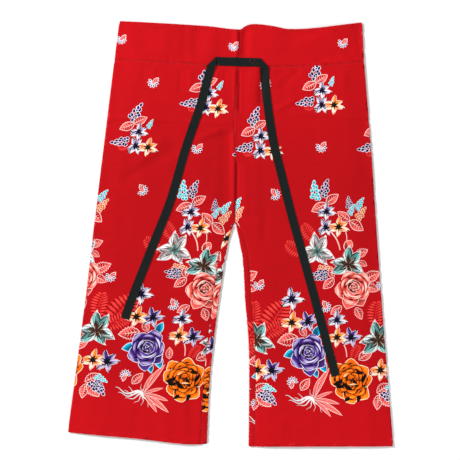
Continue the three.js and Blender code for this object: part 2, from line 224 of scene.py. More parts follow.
# Small relief that only the thin cloth has: sunk seams, doubled hems with their pull, and a soft unevenness.
relief = {
    "seamSink": 0.95,
    "seamWidth": 1.8,
    "hemRise": 0.35,
    "hemWidth": 10,
    "hemStitch": 5,  # from the edge to the row of stitches
    "stitchSink": 0.4,
    "stitchWidth": 1.6,
    "pucker": 1.3,
    "puckerLength": 8,
    "ripple": 0.3,
    "hiddenRipple": 0.25,
    "hiddenHighest": 1.5,
    "yokeStart": 404,  # the centre seam is narrower below it
    "narrower": 1.8,
    "yokePull": 0.36,
    "seamPull": 0.35,
}


def rippleAt(x, y):
    # slow waves in fixed directions, no two of one length
    waves = ((0.11, 0.031, 0.4), (-0.043, 0.083, 1.9), (0.067, -0.052, 3.1), (0.017, 0.14, 5.2))
    waves += ((0.19, 0.012, 2.2),)
    return sum(np.sin(x * a + y * b + phase + np.sin(y * a - x * b)) for a, b, phase in waves) / len(waves)


def puckerAt(along, away):
    waves = np.sin(along * 0.53 + np.sin(along * 0.13) * 2) + 0.7 * np.sin(along * 0.83 + 1.4)
    return bell(away, relief["puckerLength"]) * waves / 2


def isLeft(x, y):
    return x < np.where(y > crotch.imag, centreAt(y), crotch.real)


def fromEdge(x, y, left):
    # how far a place is from the hem or the waist edge
    hem = y - np.where(left, hemAt(x, "left"), hemAt(x, "right"))
    return np.minimum(hem, waistAt(x) - y)


def hemRow(edge):
    # the row of stitches along the hems
    return bell(edge - relief["hemStitch"], relief["stitchWidth"])


def reliefAt(x, y):
    left, above = isLeft(x, y), y > crotch.imag
    yoke = np.abs(y - yokeAt(x))
    inseam = np.where(left, np.abs(x - inseamAt(y, "left")), np.abs(x - inseamAt(y, "right")))
    narrower = np.where(y > relief["yokeStart"], 1, relief["narrower"])
    middle = np.where(above, np.abs(x - centreAt(y)) * narrower, inseam)
    edge = fromEdge(x, y, left)
    seams = bell(yoke, relief["seamWidth"]) + bell(middle, relief["seamWidth"])
    doubled = 1 - smooth((edge - relief["hemWidth"]) / 2)
    pulls = puckerAt(x, edge) + relief["yokePull"] * puckerAt(x * 1.3, yoke * 1.3)
    pulls = pulls + relief["seamPull"] * puckerAt(y * 1.1, middle * 1.6)
    return (
        relief["hemRise"] * doubled
        - relief["seamSink"] * np.minimum(seams, 1)
        - relief["stitchSink"] * hemRow(edge)
        + relief["pucker"] * pulls * 0.5
        + relief["ripple"] * rippleAt(x, y)
    )


def shownHeight(x, y):
    # the upper layer's outside above the surface that the garment lies on
    x, y = np.asarray(x, float), np.asarray(y, float)
    fromSide = np.minimum(x - sideAt(y, "left"), sideAt(y, "right") - x)
    above = y > crotch.imag
    inner = np.where(isLeft(x, y), innerAt(y, "left"), innerAt(y, "right"))
    fromInner = np.where(above, np.hypot(x - crotch.real, y - crotch.imag), np.abs(x - inner))
    edge = np.minimum(fromSide, fromInner) - foldRadius
    raised = smooth(edge / lie["loftReach"])
    settled = smooth(lie["foldShareAtEdge"] + edge / lie["loftReach"])
    height = 2 * foldRadius + lie["loft"] * raised + foldSum(x, y) * settled
    return np.maximum(height + reliefAt(x, y) * smooth(edge / 8), lie["lowest"])


def hiddenHeight(x, y):
    # the lower layer's outside: it lies on the surface, apart from soft folds under the upper layer
    seams = bell(y - yokeAt(x), 2) + bell(x - centreAt(y), 2) * (y > crotch.imag)
    edge = fromEdge(x, y, x < crotch.real)
    raised = foldSum(x, y, hiddenRows) + relief["hiddenRipple"] * (1 + rippleAt(x * 1.2 + 40, y)) * 0.5
    fine = 0.3 * np.minimum(seams, 1) + 0.2 * hemRow(edge) + 0.25 * (1 + puckerAt(x, edge))
    return np.minimum(raised + fine, relief["hiddenHighest"])


def dot(first, second):
    # how far one complex place or direction reaches along another
    return (first * np.conj(second)).real


def unit(vectors):
    return vectors / np.maximum(np.linalg.norm(vectors, axis=-1, keepdims=True), 1e-9)


def signedArea(outline):
    # twice the area, above 0 where the outline runs anticlockwise
    return (np.conj(outline) * np.roll(outline, -1)).imag.sum()


def sampled(at, run, line):
    # places at given distances along a line
    return np.interp(at, run, line.real) + 1j * np.interp(at, run, line.imag)


def runAlong(line):
    return np.concatenate([[0], np.cumsum(np.abs(np.diff(line)))])


class Unrolled:
    # A piece that is folded at one side, opened out flat: the shown side lies where it is in the garment,
    # and the hidden side beyond the line of the fold. Places on it are complex numbers.
    def __init__(self, side):
        self.side = side
        self.direction = 1 if side == "right" else -1
        self.start = complex(sideEdges[side][-1], sideEdges["y"][-1])
        bottom = complex(sideEdges[side][0], sideEdges["y"][0])
        self.up = (self.start - bottom) / abs(self.start - bottom)
        self.inward = self.up * 1j * self.direction
        self.foot = self.rimAt(hemAt(sideEdges[side][0], side))
        self.ankle = hemAt(innerEdges[side][0], side)

    def rimAt(self, y):
        # where the bend of the side fold starts
        return sideAt(y, self.side) - self.direction * foldRadius

    def tangentAt(self, y):
        # where the bend of the inner fold starts
        return innerAt(y, self.side) + self.direction * foldRadius

    def strayAt(self, along):
        # how far the true edge strays from the straight line of the fold
        level = (self.start + along * self.up).imag
        return dot(sideAt(level, self.side) + 1j * level - self.start, self.inward)

    def opened(self, place, hidden):
        along = dot(place - self.start, self.up)
        away = dot(place - self.start, self.inward)
        arc = away - self.strayAt(along) - foldRadius + foldRadius * math.pi / 2
        return self.start + along * self.up + np.where(hidden, -arc, arc) * self.inward

    def openedAllRound(self, line):
        return np.concatenate([self.opened(line, False), self.opened(line[::-1], True)])

    def outsideOf(self, opened):
        # where a place on the opened cloth lies in the garment, on its outside
        along = dot(opened - self.start, self.up)
        arc = dot(opened - self.start, self.inward)
        quarter = foldRadius * math.pi / 2
        turn = np.clip(arc / foldRadius, -math.pi / 2, math.pi / 2)
        flat = np.abs(arc) > quarter
        reach = np.where(flat, np.abs(arc) - quarter, -foldRadius * np.cos(turn))
        away = self.strayAt(along) + foldRadius + reach
        place = self.start + along * self.up + away * self.inward
        x, y = place.real, place.imag
        fromInner = (x - innerAt(y, self.side)) * self.direction / lie["settling"]
        settled = smooth((-arc - quarter) / lie["settling"]) * smooth(fromInner + (y > crotch.imag))
        below = np.where(flat, hiddenHeight(x, y) * settled, foldRadius * (1 + np.sin(turn)))
        height = np.where(arc > quarter, shownHeight(x, y), below)
        # round the inner edge of the leg, and back over it as far as the inseam
        tangent = self.tangentAt(y)
        past = (tangent - x) * self.direction
        rolled = (arc < -quarter) & (past > 0) & (y < crotch.imag - lie["crotchOpening"] + 1)
        bend = np.clip(past / foldRadius, 0, math.pi)
        over = past - foldRadius * math.pi
        back = np.where(over > 0, over, -foldRadius * np.sin(bend))
        rolledX = tangent + self.direction * back
        rolledHeight = np.where(over > 0, shownHeight(rolledX, y), foldRadius * (1 - np.cos(bend)))
        return np.stack([np.where(rolled, rolledX, x), y, np.where(rolled, rolledHeight, height)], axis=-1)

    def normalsAt(self, opened):
        step = 0.35
        across = self.outsideOf(opened + step * self.inward) - self.outsideOf(opened - step * self.inward)
        along = self.outsideOf(opened + step * self.up) - self.outsideOf(opened - step * self.up)
        return unit(np.cross(along, across) * self.direction)


def between(start, end, step):
    count = max(2, math.ceil(abs(end - start) / step) + 1)
    return np.linspace(start, end, count)


def acrossAt(line, start, end, step=9):
    # places along a line across the garment, given as a function of x
    x = between(start, end, step)
    return x + 1j * line(x)


def yokeOutline(piece):
    gap, shift = lie["seamGap"] / 2, piece.direction * lie["seamGap"] / 2
    top, bottom = centreAt(484) + shift, centreAt(396) + shift
    upper = acrossAt(waistAt, top, piece.rimAt(sideEdges["y"][-1]), 5)
    lower = acrossAt(lambda x: yokeAt(x) + gap, piece.rimAt(405), bottom, 9)
    y = between(yokeAt(bottom) + gap, waistAt(top), 8)[1:-1]
    seam = centreAt(y) + shift + 1j * y
    return piece.openedAllRound(np.concatenate([lower, seam, upper]))


def legOutline(piece):
    gap, side = lie["seamGap"] / 2, piece.side
    shift = piece.direction * gap
    top = centreAt(395) + shift
    upper = acrossAt(lambda x: yokeAt(x) - gap, top, piece.rimAt(405))
    y = between(yokeAt(top) - gap, crotch.imag, 9)
    centre = centreAt(y) + shift + 1j * y
    down = between(crotch.imag - lie["crotchOpening"], piece.ankle, 9)
    inseam = inseamAt(down, side) + shift + 1j * down
    hem = acrossAt(lambda x: hemAt(x, side), inseam[-1].real, piece.foot)
    shown = np.concatenate([hem[::-1], inseam[-2::-1], centre[::-1], upper[1:]])
    tangent = piece.tangentAt(down)
    reach = foldRadius * math.pi + rollAt(down) - gap
    rolled = tangent - piece.direction * reach + 1j * down
    under = acrossAt(lambda x: hemAt(x, side), piece.foot, tangent[-1])
    hidden = np.concatenate([upper[::-1], centre[1:], tangent[:1] + 1j * down[0], rolled, under[::-1]])
    return np.concatenate([piece.opened(shown, False), piece.opened(hidden, True)])


def foldLines(piece, top, bottom, hasInseam):
    # lines along the folded edges, so that the cloth bends round them evenly
    quarter = foldRadius * math.pi / 2
    along = between(dot(bottom - piece.start, piece.up), dot(top - piece.start, piece.up), 14)
    centre = piece.start + along * piece.up
    lines = [centre + quarter * share * piece.inward for share in (-1, -0.5, 0, 0.5, 1)]
    if hasInseam:
        down = between(crotch.imag - lie["crotchOpening"], piece.ankle - 4, 9)
        for share in (0, 0.25, 0.5, 0.75, 1):
            past = piece.tangentAt(down) - piece.direction * foldRadius * math.pi * share
            lines.append(piece.opened(past + 1j * down, True))
    return lines


# Inks of the print, as they look there. Each blossom or growth names one of these sets.
paper = (244, 238, 238)
redGround, redInside = inkOf(178, 5, 15), inkOf(190, 44, 50)
inkTable = {
    "whitePurple": {
        "mid": (204, 196, 222), "rim": paper, "base": (78, 52, 138), "tip": (240, 236, 242),
        "heart": (16, 8, 32), "streak": (34, 16, 78),
    },
    "purple": {
        "mid": (86, 58, 146), "rim": paper, "base": (44, 20, 96), "tip": (206, 194, 228),
        "heart": (12, 8, 22), "streak": (34, 14, 78),
    },
    "whiteOrange": {
        "mid": (246, 156, 66), "rim": paper, "base": (246, 128, 12), "tip": (255, 236, 206),
        "heart": (26, 16, 14), "streak": (222, 96, 6),
    },
    "pinkLeaf": {
        "rim": (252, 216, 210), "base": (178, 12, 20), "tip": (244, 100, 92), "vein": (255, 200, 190),
    },
    "turquoiseLeaf": {
        "rim": (228, 244, 250), "base": (8, 96, 140), "tip": (20, 190, 226), "vein": (6, 40, 72),
    },
    "purpleSpike": {"rim": (236, 230, 242), "base": (18, 6, 50), "tip": (66, 48, 124)},
    "turquoiseSpike": {"rim": (226, 250, 250), "base": (10, 150, 176), "tip": (96, 232, 232)},
    "orangeSpike": {"rim": (252, 232, 214), "base": (190, 70, 6), "tip": (250, 128, 10)},
    "fern": {"base": (206, 12, 20), "tip": (236, 58, 54), "gap": (140, 3, 10)},
    "whiteLily": {
        "rim": paper, "base": (150, 122, 110), "body": (232, 226, 228), "light": (252, 248, 246),
        "shade": (96, 84, 90), "streak": (84, 176, 172), "heart": (52, 32, 26),
    },
    "tealLily": {
        "rim": (236, 242, 240), "base": (66, 32, 12), "body": (122, 194, 186), "light": (232, 240, 238),
        "shade": (30, 38, 40), "streak": (96, 52, 24), "heart": (40, 20, 12),
    },
    "coralRose": {
        "rim": (252, 206, 198), "base": (150, 8, 18), "tip": (240, 96, 84), "glow": (255, 222, 206),
        "dark": (84, 4, 12),
    },
    "purpleRose": {
        "rim": (232, 228, 242), "base": (22, 6, 56), "tip": (80, 46, 136), "glow": (196, 180, 226),
        "dark": (12, 4, 30),
    },
    "peony": {
        "rim": (250, 220, 180), "base": (36, 12, 2), "tip": (244, 104, 2), "glow": (255, 146, 40),
        "dark": (10, 7, 6),
    },
    "root": {"base": (232, 226, 224), "tip": (180, 200, 202)},
    "stem": {"base": (246, 176, 168), "tip": (250, 214, 206)},
    "sprig": {
        "paper": paper, "fan": (66, 48, 124), "base": (178, 12, 20), "tip": (244, 100, 92),
        "vein": (255, 200, 190),
    },
}
inks = {name: {part: inkOf(*colour) for part, colour in row.items()} for name, row in inkTable.items()}


def bladeOf(length, width, belly, bend, count):
    # the middle line of a petal from 0 towards +i, and half its width along it
    t = np.linspace(0, 1, count + 1)
    half = width / 2 * np.sin(math.pi * t ** (math.log(0.5) / math.log(belly)))
    return 1j * length * t + bend * length * t**2, half


def petal(length, width, belly=0.55, bend=0.0, count=6, turn=0):
    # a pointed petal or blade, turned in degrees
    spine, half = bladeOf(length, width, belly, bend, count)
    return turned(np.concatenate([(spine + half)[:-1], (spine - half)[:0:-1]]), turn)


def lobe(length, width, ruffle=0.0, count=14, phase=0.0):
    # a round petal from 0 towards +i
    angle = np.linspace(0, 2 * math.pi, count, endpoint=False) - math.pi / 2
    swell = 1 + ruffle * np.sin(5 * angle + phase)
    return width / 2 * swell * np.cos(angle) + 1j * length / 2 * (1 + swell * np.sin(angle))


def crescent(radius, thickness, start, sweep, count=9):
    # a curved sliver on a circle about 0, thin at both ends
    t = np.linspace(0, 1, count)
    arc = np.exp(1j * np.radians(start + sweep * t))
    inner = (radius - thickness * np.sin(math.pi * t)) * arc
    return np.concatenate([radius * arc, inner[-2:0:-1]])


def grown(points, by):
    # an outline moved outwards, or inwards where by is negative
    tangent = np.roll(points, -1) - np.roll(points, 1)
    outward = -1j * tangent / np.maximum(np.abs(tangent), 1e-9)
    return points + outward * by * (1 if signedArea(points) > 0 else -1)


def turned(points, degrees):
    return points * np.exp(1j * math.radians(degrees))


class Motif:
    # One motif of the print in one set of inks: flat shapes, each over the ones before it.
    def __init__(self, ink):
        self.ink, self.layers = ink, []

    def add(self, points, near, far=None, start=0j, end=1j, radial=False):
        # a shape that turns from one ink to another between two places, or outwards from the first
        layer = {"points": points, "start": start, "end": end, "radial": radial}
        self.layers.append({**layer, "near": self.ink[near], "far": self.ink[far or near]})

    def addHalves(self, length, width, belly, bend, count, turn, near, middle, far):
        # a petal in two halves, each of which turns from its own ink at the rim to one ink at the middle
        spine, edge = bladeOf(length, width, belly, bend, count)
        centre = 0.5j * length + bend * length * 0.25
        right = np.concatenate([spine[::-1], (spine + edge)[1:-1]])
        left = np.concatenate([spine, (spine - edge)[-2:0:-1]])
        for shape, rim, ink in ((right, centre + width / 2, near), (left, centre - width / 2, far)):
            self.add(turned(shape, turn), ink, middle, turned(rim, turn), turned(centre, turn))


def spun(layers, place, factor):
    # turns and scales layers by a complex factor and moves them to a place
    moved = ("points", "start", "end")
    return [{**layer, **{name: layer[name] * factor + place for name in moved}} for layer in layers]


def starBlossom(made):
    # six uneven pointed petals round a spiky dark heart, each petal darker on one half
    width, belly, count = 0.45, 0.48, 7
    rows = ((0, 1.12, 0.26), (62, 0.97, -0.3), (116, 1.1, 0.22), (186, 0.98, 0.32), (236, 1.18, -0.24))
    rows += ((304, 0.98, 0.28),)
    for turn, span, bend in rows:
        made.add(grown(petal(span, width, belly, bend, count, turn), 0.06), "rim")
    for k, (turn, span, bend) in enumerate(rows):
        end = turned(1j * span, turn)
        near, far = ("tip", "streak")[:: 1 if k % 2 else -1]
        middle = "tip" if 90 < turn < 240 else "mid"
        made.add(grown(petal(span, width, belly, bend, count, turn), 0.026), "streak")
        made.addHalves(span, width, belly, bend, count, turn, near, middle, far)
        made.add(petal(span * 0.74, 0.17, 0.3, bend * 0.8, turn=turn), "base", "mid", end * 0.3, end * 0.66)
        made.add(petal(span * 0.8, 0.07, 0.3, bend * 0.8, turn=turn), "heart", "streak", 0j, end * 0.6)
        fleck = petal(0.34, 0.14, 0.6, bend, 4) + (0.76j + bend * 0.62 + 0.03 * (-1) ** k) * span
        made.add(turned(fleck, turn), "streak" if k % 2 else "heart", "streak")
    made.add(np.array([turned((0.54 if k % 2 else 0.23) * 1j, 25.7 * k) for k in range(14)]), "heart")


def sprig(made):
    # half a daisy with one leaf
    turns = [62 + 33 * k for k in range(8)]
    blade = petal(1.2, 0.62, 0.45, turn=-42)
    fan = [petal(1.0, 0.25, 0.64, 0.0, 4, turn) for turn in turns]
    for shape in (blade, *fan):
        made.add(grown(shape, 0.09), "paper")
    for shape, turn in zip(fan, turns):
        made.add(shape, "paper", "fan", turned(0.25j, turn), turned(0.6j, turn))
    made.add(blade, "base", "tip", 0j, turned(1.1j, -42))
    made.add(petal(1.0, 0.07, 0.5, turn=-42), "vein")
    made.add(lobe(0.6, 0.6, 0.08, 10) - 0.3j, "paper", "tip", 0j, 0.3 + 0j, True)


def spike(made):
    # a tapered head of separate berries with light rims, in rows of level, count and half width
    levels = ((0.0, 2, 0.06), (0.14, 3, 0.13), (0.29, 3, 0.13), (0.44, 2, 0.08), (0.57, 2, 0.07))
    for row, (level, count, half) in enumerate((*levels, (0.71, 2, 0.04), (0.84, 1, 0.0))):
        for k in range(count):
            x = (2 * k / max(count - 1, 1) - 1) * half + 0.03 * (-1) ** row
            turn = -x * 200 + 24 * math.sin(3.1 * k + row)
            at = x + 1j * (level + 0.03 * math.sin(5.0 * k + 2.3 * row))
            berry = petal(0.22, 0.15, 0.42, 0, 4, turn) + at
            made.add(grown(berry, 0.024), "rim")
            made.add(berry, "base", "tip", at + turned(0.05j, turn), at + turned(0.2j, turn))


def leaf(made, toothed=False):
    bend = 0.06
    shape = petal(1.0, 0.56, 0.45, bend, 16 if toothed else 8)
    if toothed:
        spine = 1j * shape.imag + bend * shape.imag**2
        shape = spine + (shape - spine) * (1 + 0.17 * np.cos(np.arange(len(shape)) * math.pi))
    made.add(grown(shape, 0.036), "rim")
    made.add(shape, "base", "tip", 0.04 + 0.4j, 0.28 + 0.5j)
    made.add(petal(0.94, 0.045, 0.3, bend), "vein")
    for k, level in enumerate((0.16, 0.32, 0.48, 0.64)):
        for way in (-1, 1):
            vein = petal(0.27 - 0.04 * abs(k - 1), 0.024, 0.3, -0.2 * way, 4, 48 * way)
            made.add(vein + 1j * level + bend * level**2, "vein")


def toothedLeaf(made):
    leaf(made, True)


def fern(made):
    # curved blades in pairs up a curved rib, each bright at its tip, with a dark gap below it
    for k in range(9):
        level = 0.02 + 0.104 * k
        size = 0.38 * math.sin(math.pi * (level * 0.74 + 0.2))
        rib = 1j * level + 0.16 * level**2
        for way in (1, -1):
            turn = (66 - 34 * level) * way
            tip = turned(1j * size, turn)
            for width, drop, near, far in ((0.11, 0.035, "gap", "gap"), (0.098, 0, "base", "tip")):
                blade = petal(size, width, 0.6, -0.34 * way, 5, turn)
                made.add(blade + rib - 1j * drop, near, far, rib, rib + tip * 0.6)
    made.add(petal(1.0, 0.035, 0.3, 0.16), "base", "tip")


def lily(made):
    # six long petals that turn back at their tips, with a streaked throat
    width, belly, count = 0.53, 0.52, 9
    rows = ((4, 1.04, 0.26), (57, 0.94, -0.3), (122, 1.06, 0.24), (177, 0.84, -0.32), (244, 1.02, 0.28))
    rows += ((298, 0.98, -0.22),)
    for turn, span, bend in rows:
        made.add(grown(petal(span, width, belly, bend, count, turn), 0.034), "rim")
    for k, (turn, span, bend) in enumerate(rows):
        end = turned(1j * span, turn)
        near, far = ("light", "shade")[:: 1 if k % 2 else -1]
        middle = "light" if k % 3 == 1 else "body"
        made.add(grown(petal(span, width, belly, bend, count, turn), 0.014), "shade")
        made.addHalves(span, width, belly, bend, count, turn, near, middle, far)
        for side, reach, start in ((0.15, 0.54, 0.3), (-0.16, 0.46, 0.36)):
            line = petal(span * reach, 0.05, 0.5, -side * 1.4) + side * 0.8 + bend * 0.2 + 1j * start * span
            made.add(turned(line, turn), "shade", "body", end * 0.4, end * 1.05)
        made.add(petal(span * 0.74, 0.24, 0.36, bend * 0.8, turn=turn), "base", "body", end * 0.36, end * 0.7)
        made.add(petal(span * 0.84, 0.09, 0.34, bend * 0.9, turn=turn), "heart", "shade", 0j, end * 0.7)
        curl = turned(petal(0.24, 0.12, 0.5, bend * 2.4, 5) + 1j * span * 0.82 + bend * span * 0.68, turn)
        made.add(grown(curl, 0.02), "rim")
        made.add(curl, "shade", "light", end * 0.82, end * 1.08)
    for k in range(12):
        reach, turn = 0.5 if k % 2 else 0.34, 30 * k + 9
        made.add(petal(reach, 0.085, 0.45, 0.1, 4, turn), "heart", "streak", 0j, turned(reach * 1j, turn))
    for turn in (-40, 44, 128, 212):
        made.add(petal(0.5, 0.024, 0.5, 0.3, 5, turn), "heart", "light", 0j, turned(0.4j, turn))
        made.add(turned(lobe(0.07, 0.12, 0, 7) + 0.48j + 0.14, turn), "heart")


def roundBlossom(made, rings, ruffle, glints):
    # Rings of round petals, the inner ones over the outer, each dark where the next one covers it.
    # A ring is its count of petals, their length and width, and its turn.
    for ring, (count, length, width, offset) in enumerate(rings):
        covered = rings[ring + 1][1] / length if ring + 1 < len(rings) else 0.3
        below = "dark" if ring else "rim"
        rows = []
        for k in range(count):
            turn = offset + 360 / count * k + 7 * math.sin(2.4 * k + ring)
            span = length * (1 + 0.09 * math.sin(1.7 * k + 2 * ring))
            rows.append((turned(lobe(span, width, ruffle, 18, k + ring), turn), turn, span))
        for shape, _, _ in rows:
            made.add(grown(shape, 0.034), below)
        for k, (shape, turn, span) in enumerate(rows):
            end = turned(1j * span, turn)
            if k:
                made.add(grown(shape, 0.022), below)
            made.add(shape, "base", "tip", end * (covered - 0.12), end * (0.3 + 0.62 * covered))
            gleam = crescent(width * 0.44, width * (0.19 if glints else 0.14), 42, 96)
            gleam = gleam + 1j * (span - width * 0.49)
            if (k + ring) % 3 or glints:
                made.add(turned(gleam, turn), "tip", "glow", end * 0.74, end * 0.94)
            fold = crescent(width * 0.3, width * 0.1, 60 + 50 * (k % 2), 80) + 1j * (span - width * 0.52)
            made.add(turned(fold, turn), "dark", "base", end * 0.5, end)


def rose(made):
    # two hanging petals, three rings of petals, a rolled heart and a few light edges
    for turn, length in ((150, 1.34), (196, 1.2)):
        low = petal(length, 0.84, 0.62, 0.1, 9, turn)
        made.add(grown(low, 0.034), "rim")
        made.add(low, "dark", "tip", turned(0.7j, turn), turned(1.2j, turn))
    roundBlossom(made, ((5, 1.04, 1.0, 10), (5, 0.78, 0.86, 44), (3, 0.58, 0.74, 5)), 0.05, True)
    for k in range(7):
        size, turn = 0.84 - 0.115 * k, 55 * k
        centre = turned(0.05 + 0j, 130 * k) + 0.03j
        ring = turned(lobe(size, size * 0.84, 0.05, 14, k) - 0.5j * size, turn) + centre
        made.add(grown(ring, 0.02), "glow" if k % 3 else "rim")
        made.add(ring, "dark", "tip", centre + turned(0.42j * size, turn), centre - turned(0.5j * size, turn))
        made.add(turned(crescent(size * 0.36, size * 0.09, 20, 130, 7), turn + 150) + centre, "dark")
    for radius, start, sweep in ((0.6, 196, 104), (0.74, 318, 66), (0.52, 78, 80)):
        made.add(crescent(radius, 0.075, start, sweep) + 0.03j, "rim", "glow")


def peony(made):
    made.add(lobe(1.7, 1.6, 0.03, 26) - 0.85j, "dark")
    rings = ((8, 1.02, 0.74, 0), (7, 0.8, 0.66, 21), (6, 0.6, 0.54, 4), (5, 0.42, 0.42, 30))
    roundBlossom(made, (*rings, (3, 0.25, 0.3, 12)), 0.055, False)
    # dark gaps and light edges between the petals, as place, turn and size
    gaps = (
        (-0.3 - 0.26j, 100, 0.42), (0.1 - 0.42j, 80, 0.5), (0.36 - 0.3j, 60, 0.4), (-0.4 + 0.1j, 150, 0.4),
        (0.2 + 0.34j, 300, 0.3), (-0.12 - 0.72j, 170, 0.24), (0.34 - 0.66j, 200, 0.26),
        (-0.5 - 0.34j, 60, 0.3), (0.56 - 0.1j, 10, 0.34),
    )
    for place, turn, size in gaps:
        gap = petal(size * 1.25, 0.23, 0.5, 0.5, turn=turn) + place
        made.add(gap, "dark", "base", place, turned(1.5j * size, turn))
    for place, turn, size in ((-0.36 + 0.16j, 330, 0.34), (-0.1 - 0.2j, 290, 0.4)):
        edge = petal(size, 0.09, 0.5, 0.3, turn=turn) + place
        made.add(edge, "rim", "glow", place, place + turned(1j * size, turn))


def bud(made):
    whole = lobe(1.6, 1.3, 0.04)
    made.add(grown(whole, 0.07) - 0.8j, "rim")
    made.add(whole - 0.8j, "base", "tip", -0.8j, 0.6j)
    for way, end in ((-1, 0.5j), (1, 0.3 + 0.5j)):
        made.add(turned(lobe(1.35, 0.7), 24 * way) - 0.8j, "rim")
        made.add(turned(lobe(1.25, 0.58), 24 * way) - 0.76j, "base", "tip", -0.6j, end)


def strap(made):
    blade = petal(1.0, 0.14, 0.5, 0.14, 9)
    made.add(grown(blade, 0.014), "rim")
    made.add(blade, "base", "tip", 0j, 0.8j)
    for side, width, line in ((-0.028, 0.014, "vein"), (0.028, 0.014, "vein"), (0, 0.026, "base")):
        made.add(petal(0.94, width, 0.5, 0.14) + side, line, "tip", 0j, 1.4j)


def root(made):
    # a thick thin-ended line that winds and curls at its tip
    t = np.linspace(0, 1, 16)
    heading = np.cumsum(0.32 * np.sin(7.0 * t + 0.6) + 0.2 * t**4)
    spine = np.concatenate([[0], np.cumsum(1j * np.exp(1j * heading) / 15)[:-1]])
    spine = spine / abs(spine[-1]) * np.exp(1j * (math.pi / 2 - np.angle(spine[-1])))
    way = np.gradient(spine)
    half = 1j * way / np.abs(way) * 0.034 * (1.25 - t)
    made.add(np.concatenate([spine - half, (spine + half)[::-1]]), "base", "tip")


def stem(made):
    t = np.linspace(0, 1, 7)
    spine = 1j * t + 0.08 * np.sin(math.pi * t)
    made.add(np.concatenate([spine + 0.03, (spine - 0.03)[::-1]]), "base", "tip")


# One repeat of the print as it lies on the right leg, in millimetres. Growths run from a base to a tip.
# The clusters stand above it.
printRepeat = 289
growths = [
    # kind, inks, and rows of base x, base y, tip x, tip y
    (fern, "fern", [
        (198, -13, 166, 19), (170, -46, 128, -26), (87, -236, 121, -155), (85, -238, 128, -205),
        (55, -214, 49, -158), (289, -291, 299, -260),
    ]),
    (stem, "stem", [
        (273, -24, 272, 4), (259, -38, 238, 4), (140, -188, 143, -166), (274, -290, 264, -255),
        (292, -100, 262, -72), (86, -345, 70, -330),
    ]),
    (root, "root", [
        (195, -389, 129, -380), (195, -390, 137, -392), (195, -391, 156, -404), (195, -392, 178, -414),
        (196, -390, 150, -386), (196, -392, 196, -418), (196, -388, 186, -366), (196, -391, 214, -420),
        (195, -390, 158, -376),
    ]),
    (strap, "pinkLeaf", [
        (195, -389, 222, -312), (195, -389, 202, -338), (196, -390, 236, -366), (196, -390, 256, -392),
        (196, -391, 266, -418), (196, -391, 240, -424),
    ]),
    (leaf, "pinkLeaf", [
        (226, 71, 252, 94), (226, 71, 193, 51), (281, 30, 252, 50), (281, 30, 314, 10),
        (244, -105, 221, -130), (242, -104, 235, -78), (262, -170, 238, -190), (166, -368, 184, -340),
        (303, -296, 333, -273), (240, -300, 234, -274),
    ]),
    (toothedLeaf, "pinkLeaf", [
        (296, -52, 323, -36), (303, -65, 323, -74), (317, -110, 351, -88), (319, -123, 350, -131),
        (296, -174, 311, -200), (178, -240, 162, -218), (158, -243, 113, -257), (56, -374, 88, -352),
        (58, -380, 58, -414), (62, -378, 96, -404),
    ]),
    (spike, "turquoiseSpike", [(205, 79, 194, 122)]),
    (spike, "purpleSpike", [(219, 86, 226, 126), (283, 58, 276, 86)]),
    (spike, "turquoiseSpike", [(298, 56, 311, 84), (282, 44, 289, 68)]),
    (spike, "orangeSpike", [(300, 32, 316, 62), (206, -86, 238, -78)]),
    (spike, "purpleSpike", [(228, -90, 194, -97), (230, -96, 200, -108)]),
    (spike, "turquoiseSpike", [(76, -360, 106, -368)]),
    (spike, "purpleSpike", [(68, -374, 106, -398), (78, -372, 104, -388)]),
    (leaf, "turquoiseLeaf", [
        (199, -245, 207, -215), (160, -276, 127, -290), (210, -296, 226, -325), (196, -316, 206, -338),
    ]),
]
blossoms = [
    # kind, inks, x, y, radius, turn in degrees
    (sprig, "sprig", [
        (83, 350, 13, 0), (213, 204, 13, 0), (105, 92, 13, 75), (68, -120, 13, 0), (225, -172, 13, 65),
        (146, -349, 13, 210),
    ]),
    (starBlossom, "whitePurple", [(226, 52, 20, 10), (225, 15, 20, 38)]),
    (starBlossom, "whiteOrange", [(255, 16, 22, 5)]),
    (bud, "coralRose", [(278, -27, 15, -30)]),
    (lily, "whiteLily", [(205, -41, 40, 20)]),
    (lily, "tealLily", [(279, -72, 40, 8)]),
    (rose, "coralRose", [(292, -127, 39, 15)]),
    (starBlossom, "whitePurple", [(145, -154, 25, 20)]),
    (starBlossom, "purple", [(183, -207, 23, 32)]),
    (starBlossom, "whiteOrange", [(145, -209, 24, 0)]),
    (starBlossom, "whitePurple", [(251, -203, 21, 12)]),
    (starBlossom, "purple", [(284, -244, 22, 28)]),
    (starBlossom, "whiteOrange", [(251, -244, 22, 4)]),
    (lily, "tealLily", [(60, -250, 43, 22)]),
    (rose, "purpleRose", [(184, -280, 41, 40)]),
    (starBlossom, "purple", [(97, -322, 25, 30)]),
    (starBlossom, "whiteOrange", [(64, -321, 24, 8)]),
    (peony, "peony", [(284, -346, 50, 0)]),
]
clusterPlaces = (202 + 356j, 57 + 248j)
clusterGrowths = [
    (fern, "fern", [(-4, -54, -26, -64)]),
    (spike, "purpleSpike", [(-5, 4, 6, 48)]),
    (leaf, "pinkLeaf", [(0, 0, -30, -18), (0, 0, 26, 19)]),
    (stem, "stem", [(22, -12, 36, -4)]),
    (spike, "turquoiseSpike", [(35, -8, 40, 13)]),
    (spike, "purpleSpike", [(-5, -40, -44, -52)]),
]
clusterBlossoms = [
    (starBlossom, "whitePurple", [(14, -19, 19, 14), (13, -53, 20, 40)]),
    (starBlossom, "whiteOrange", [(42, -53, 21, 6)]),
]


def motifOf(make, ink):
    made = Motif(inks[ink])
    make(made)
    return made.layers


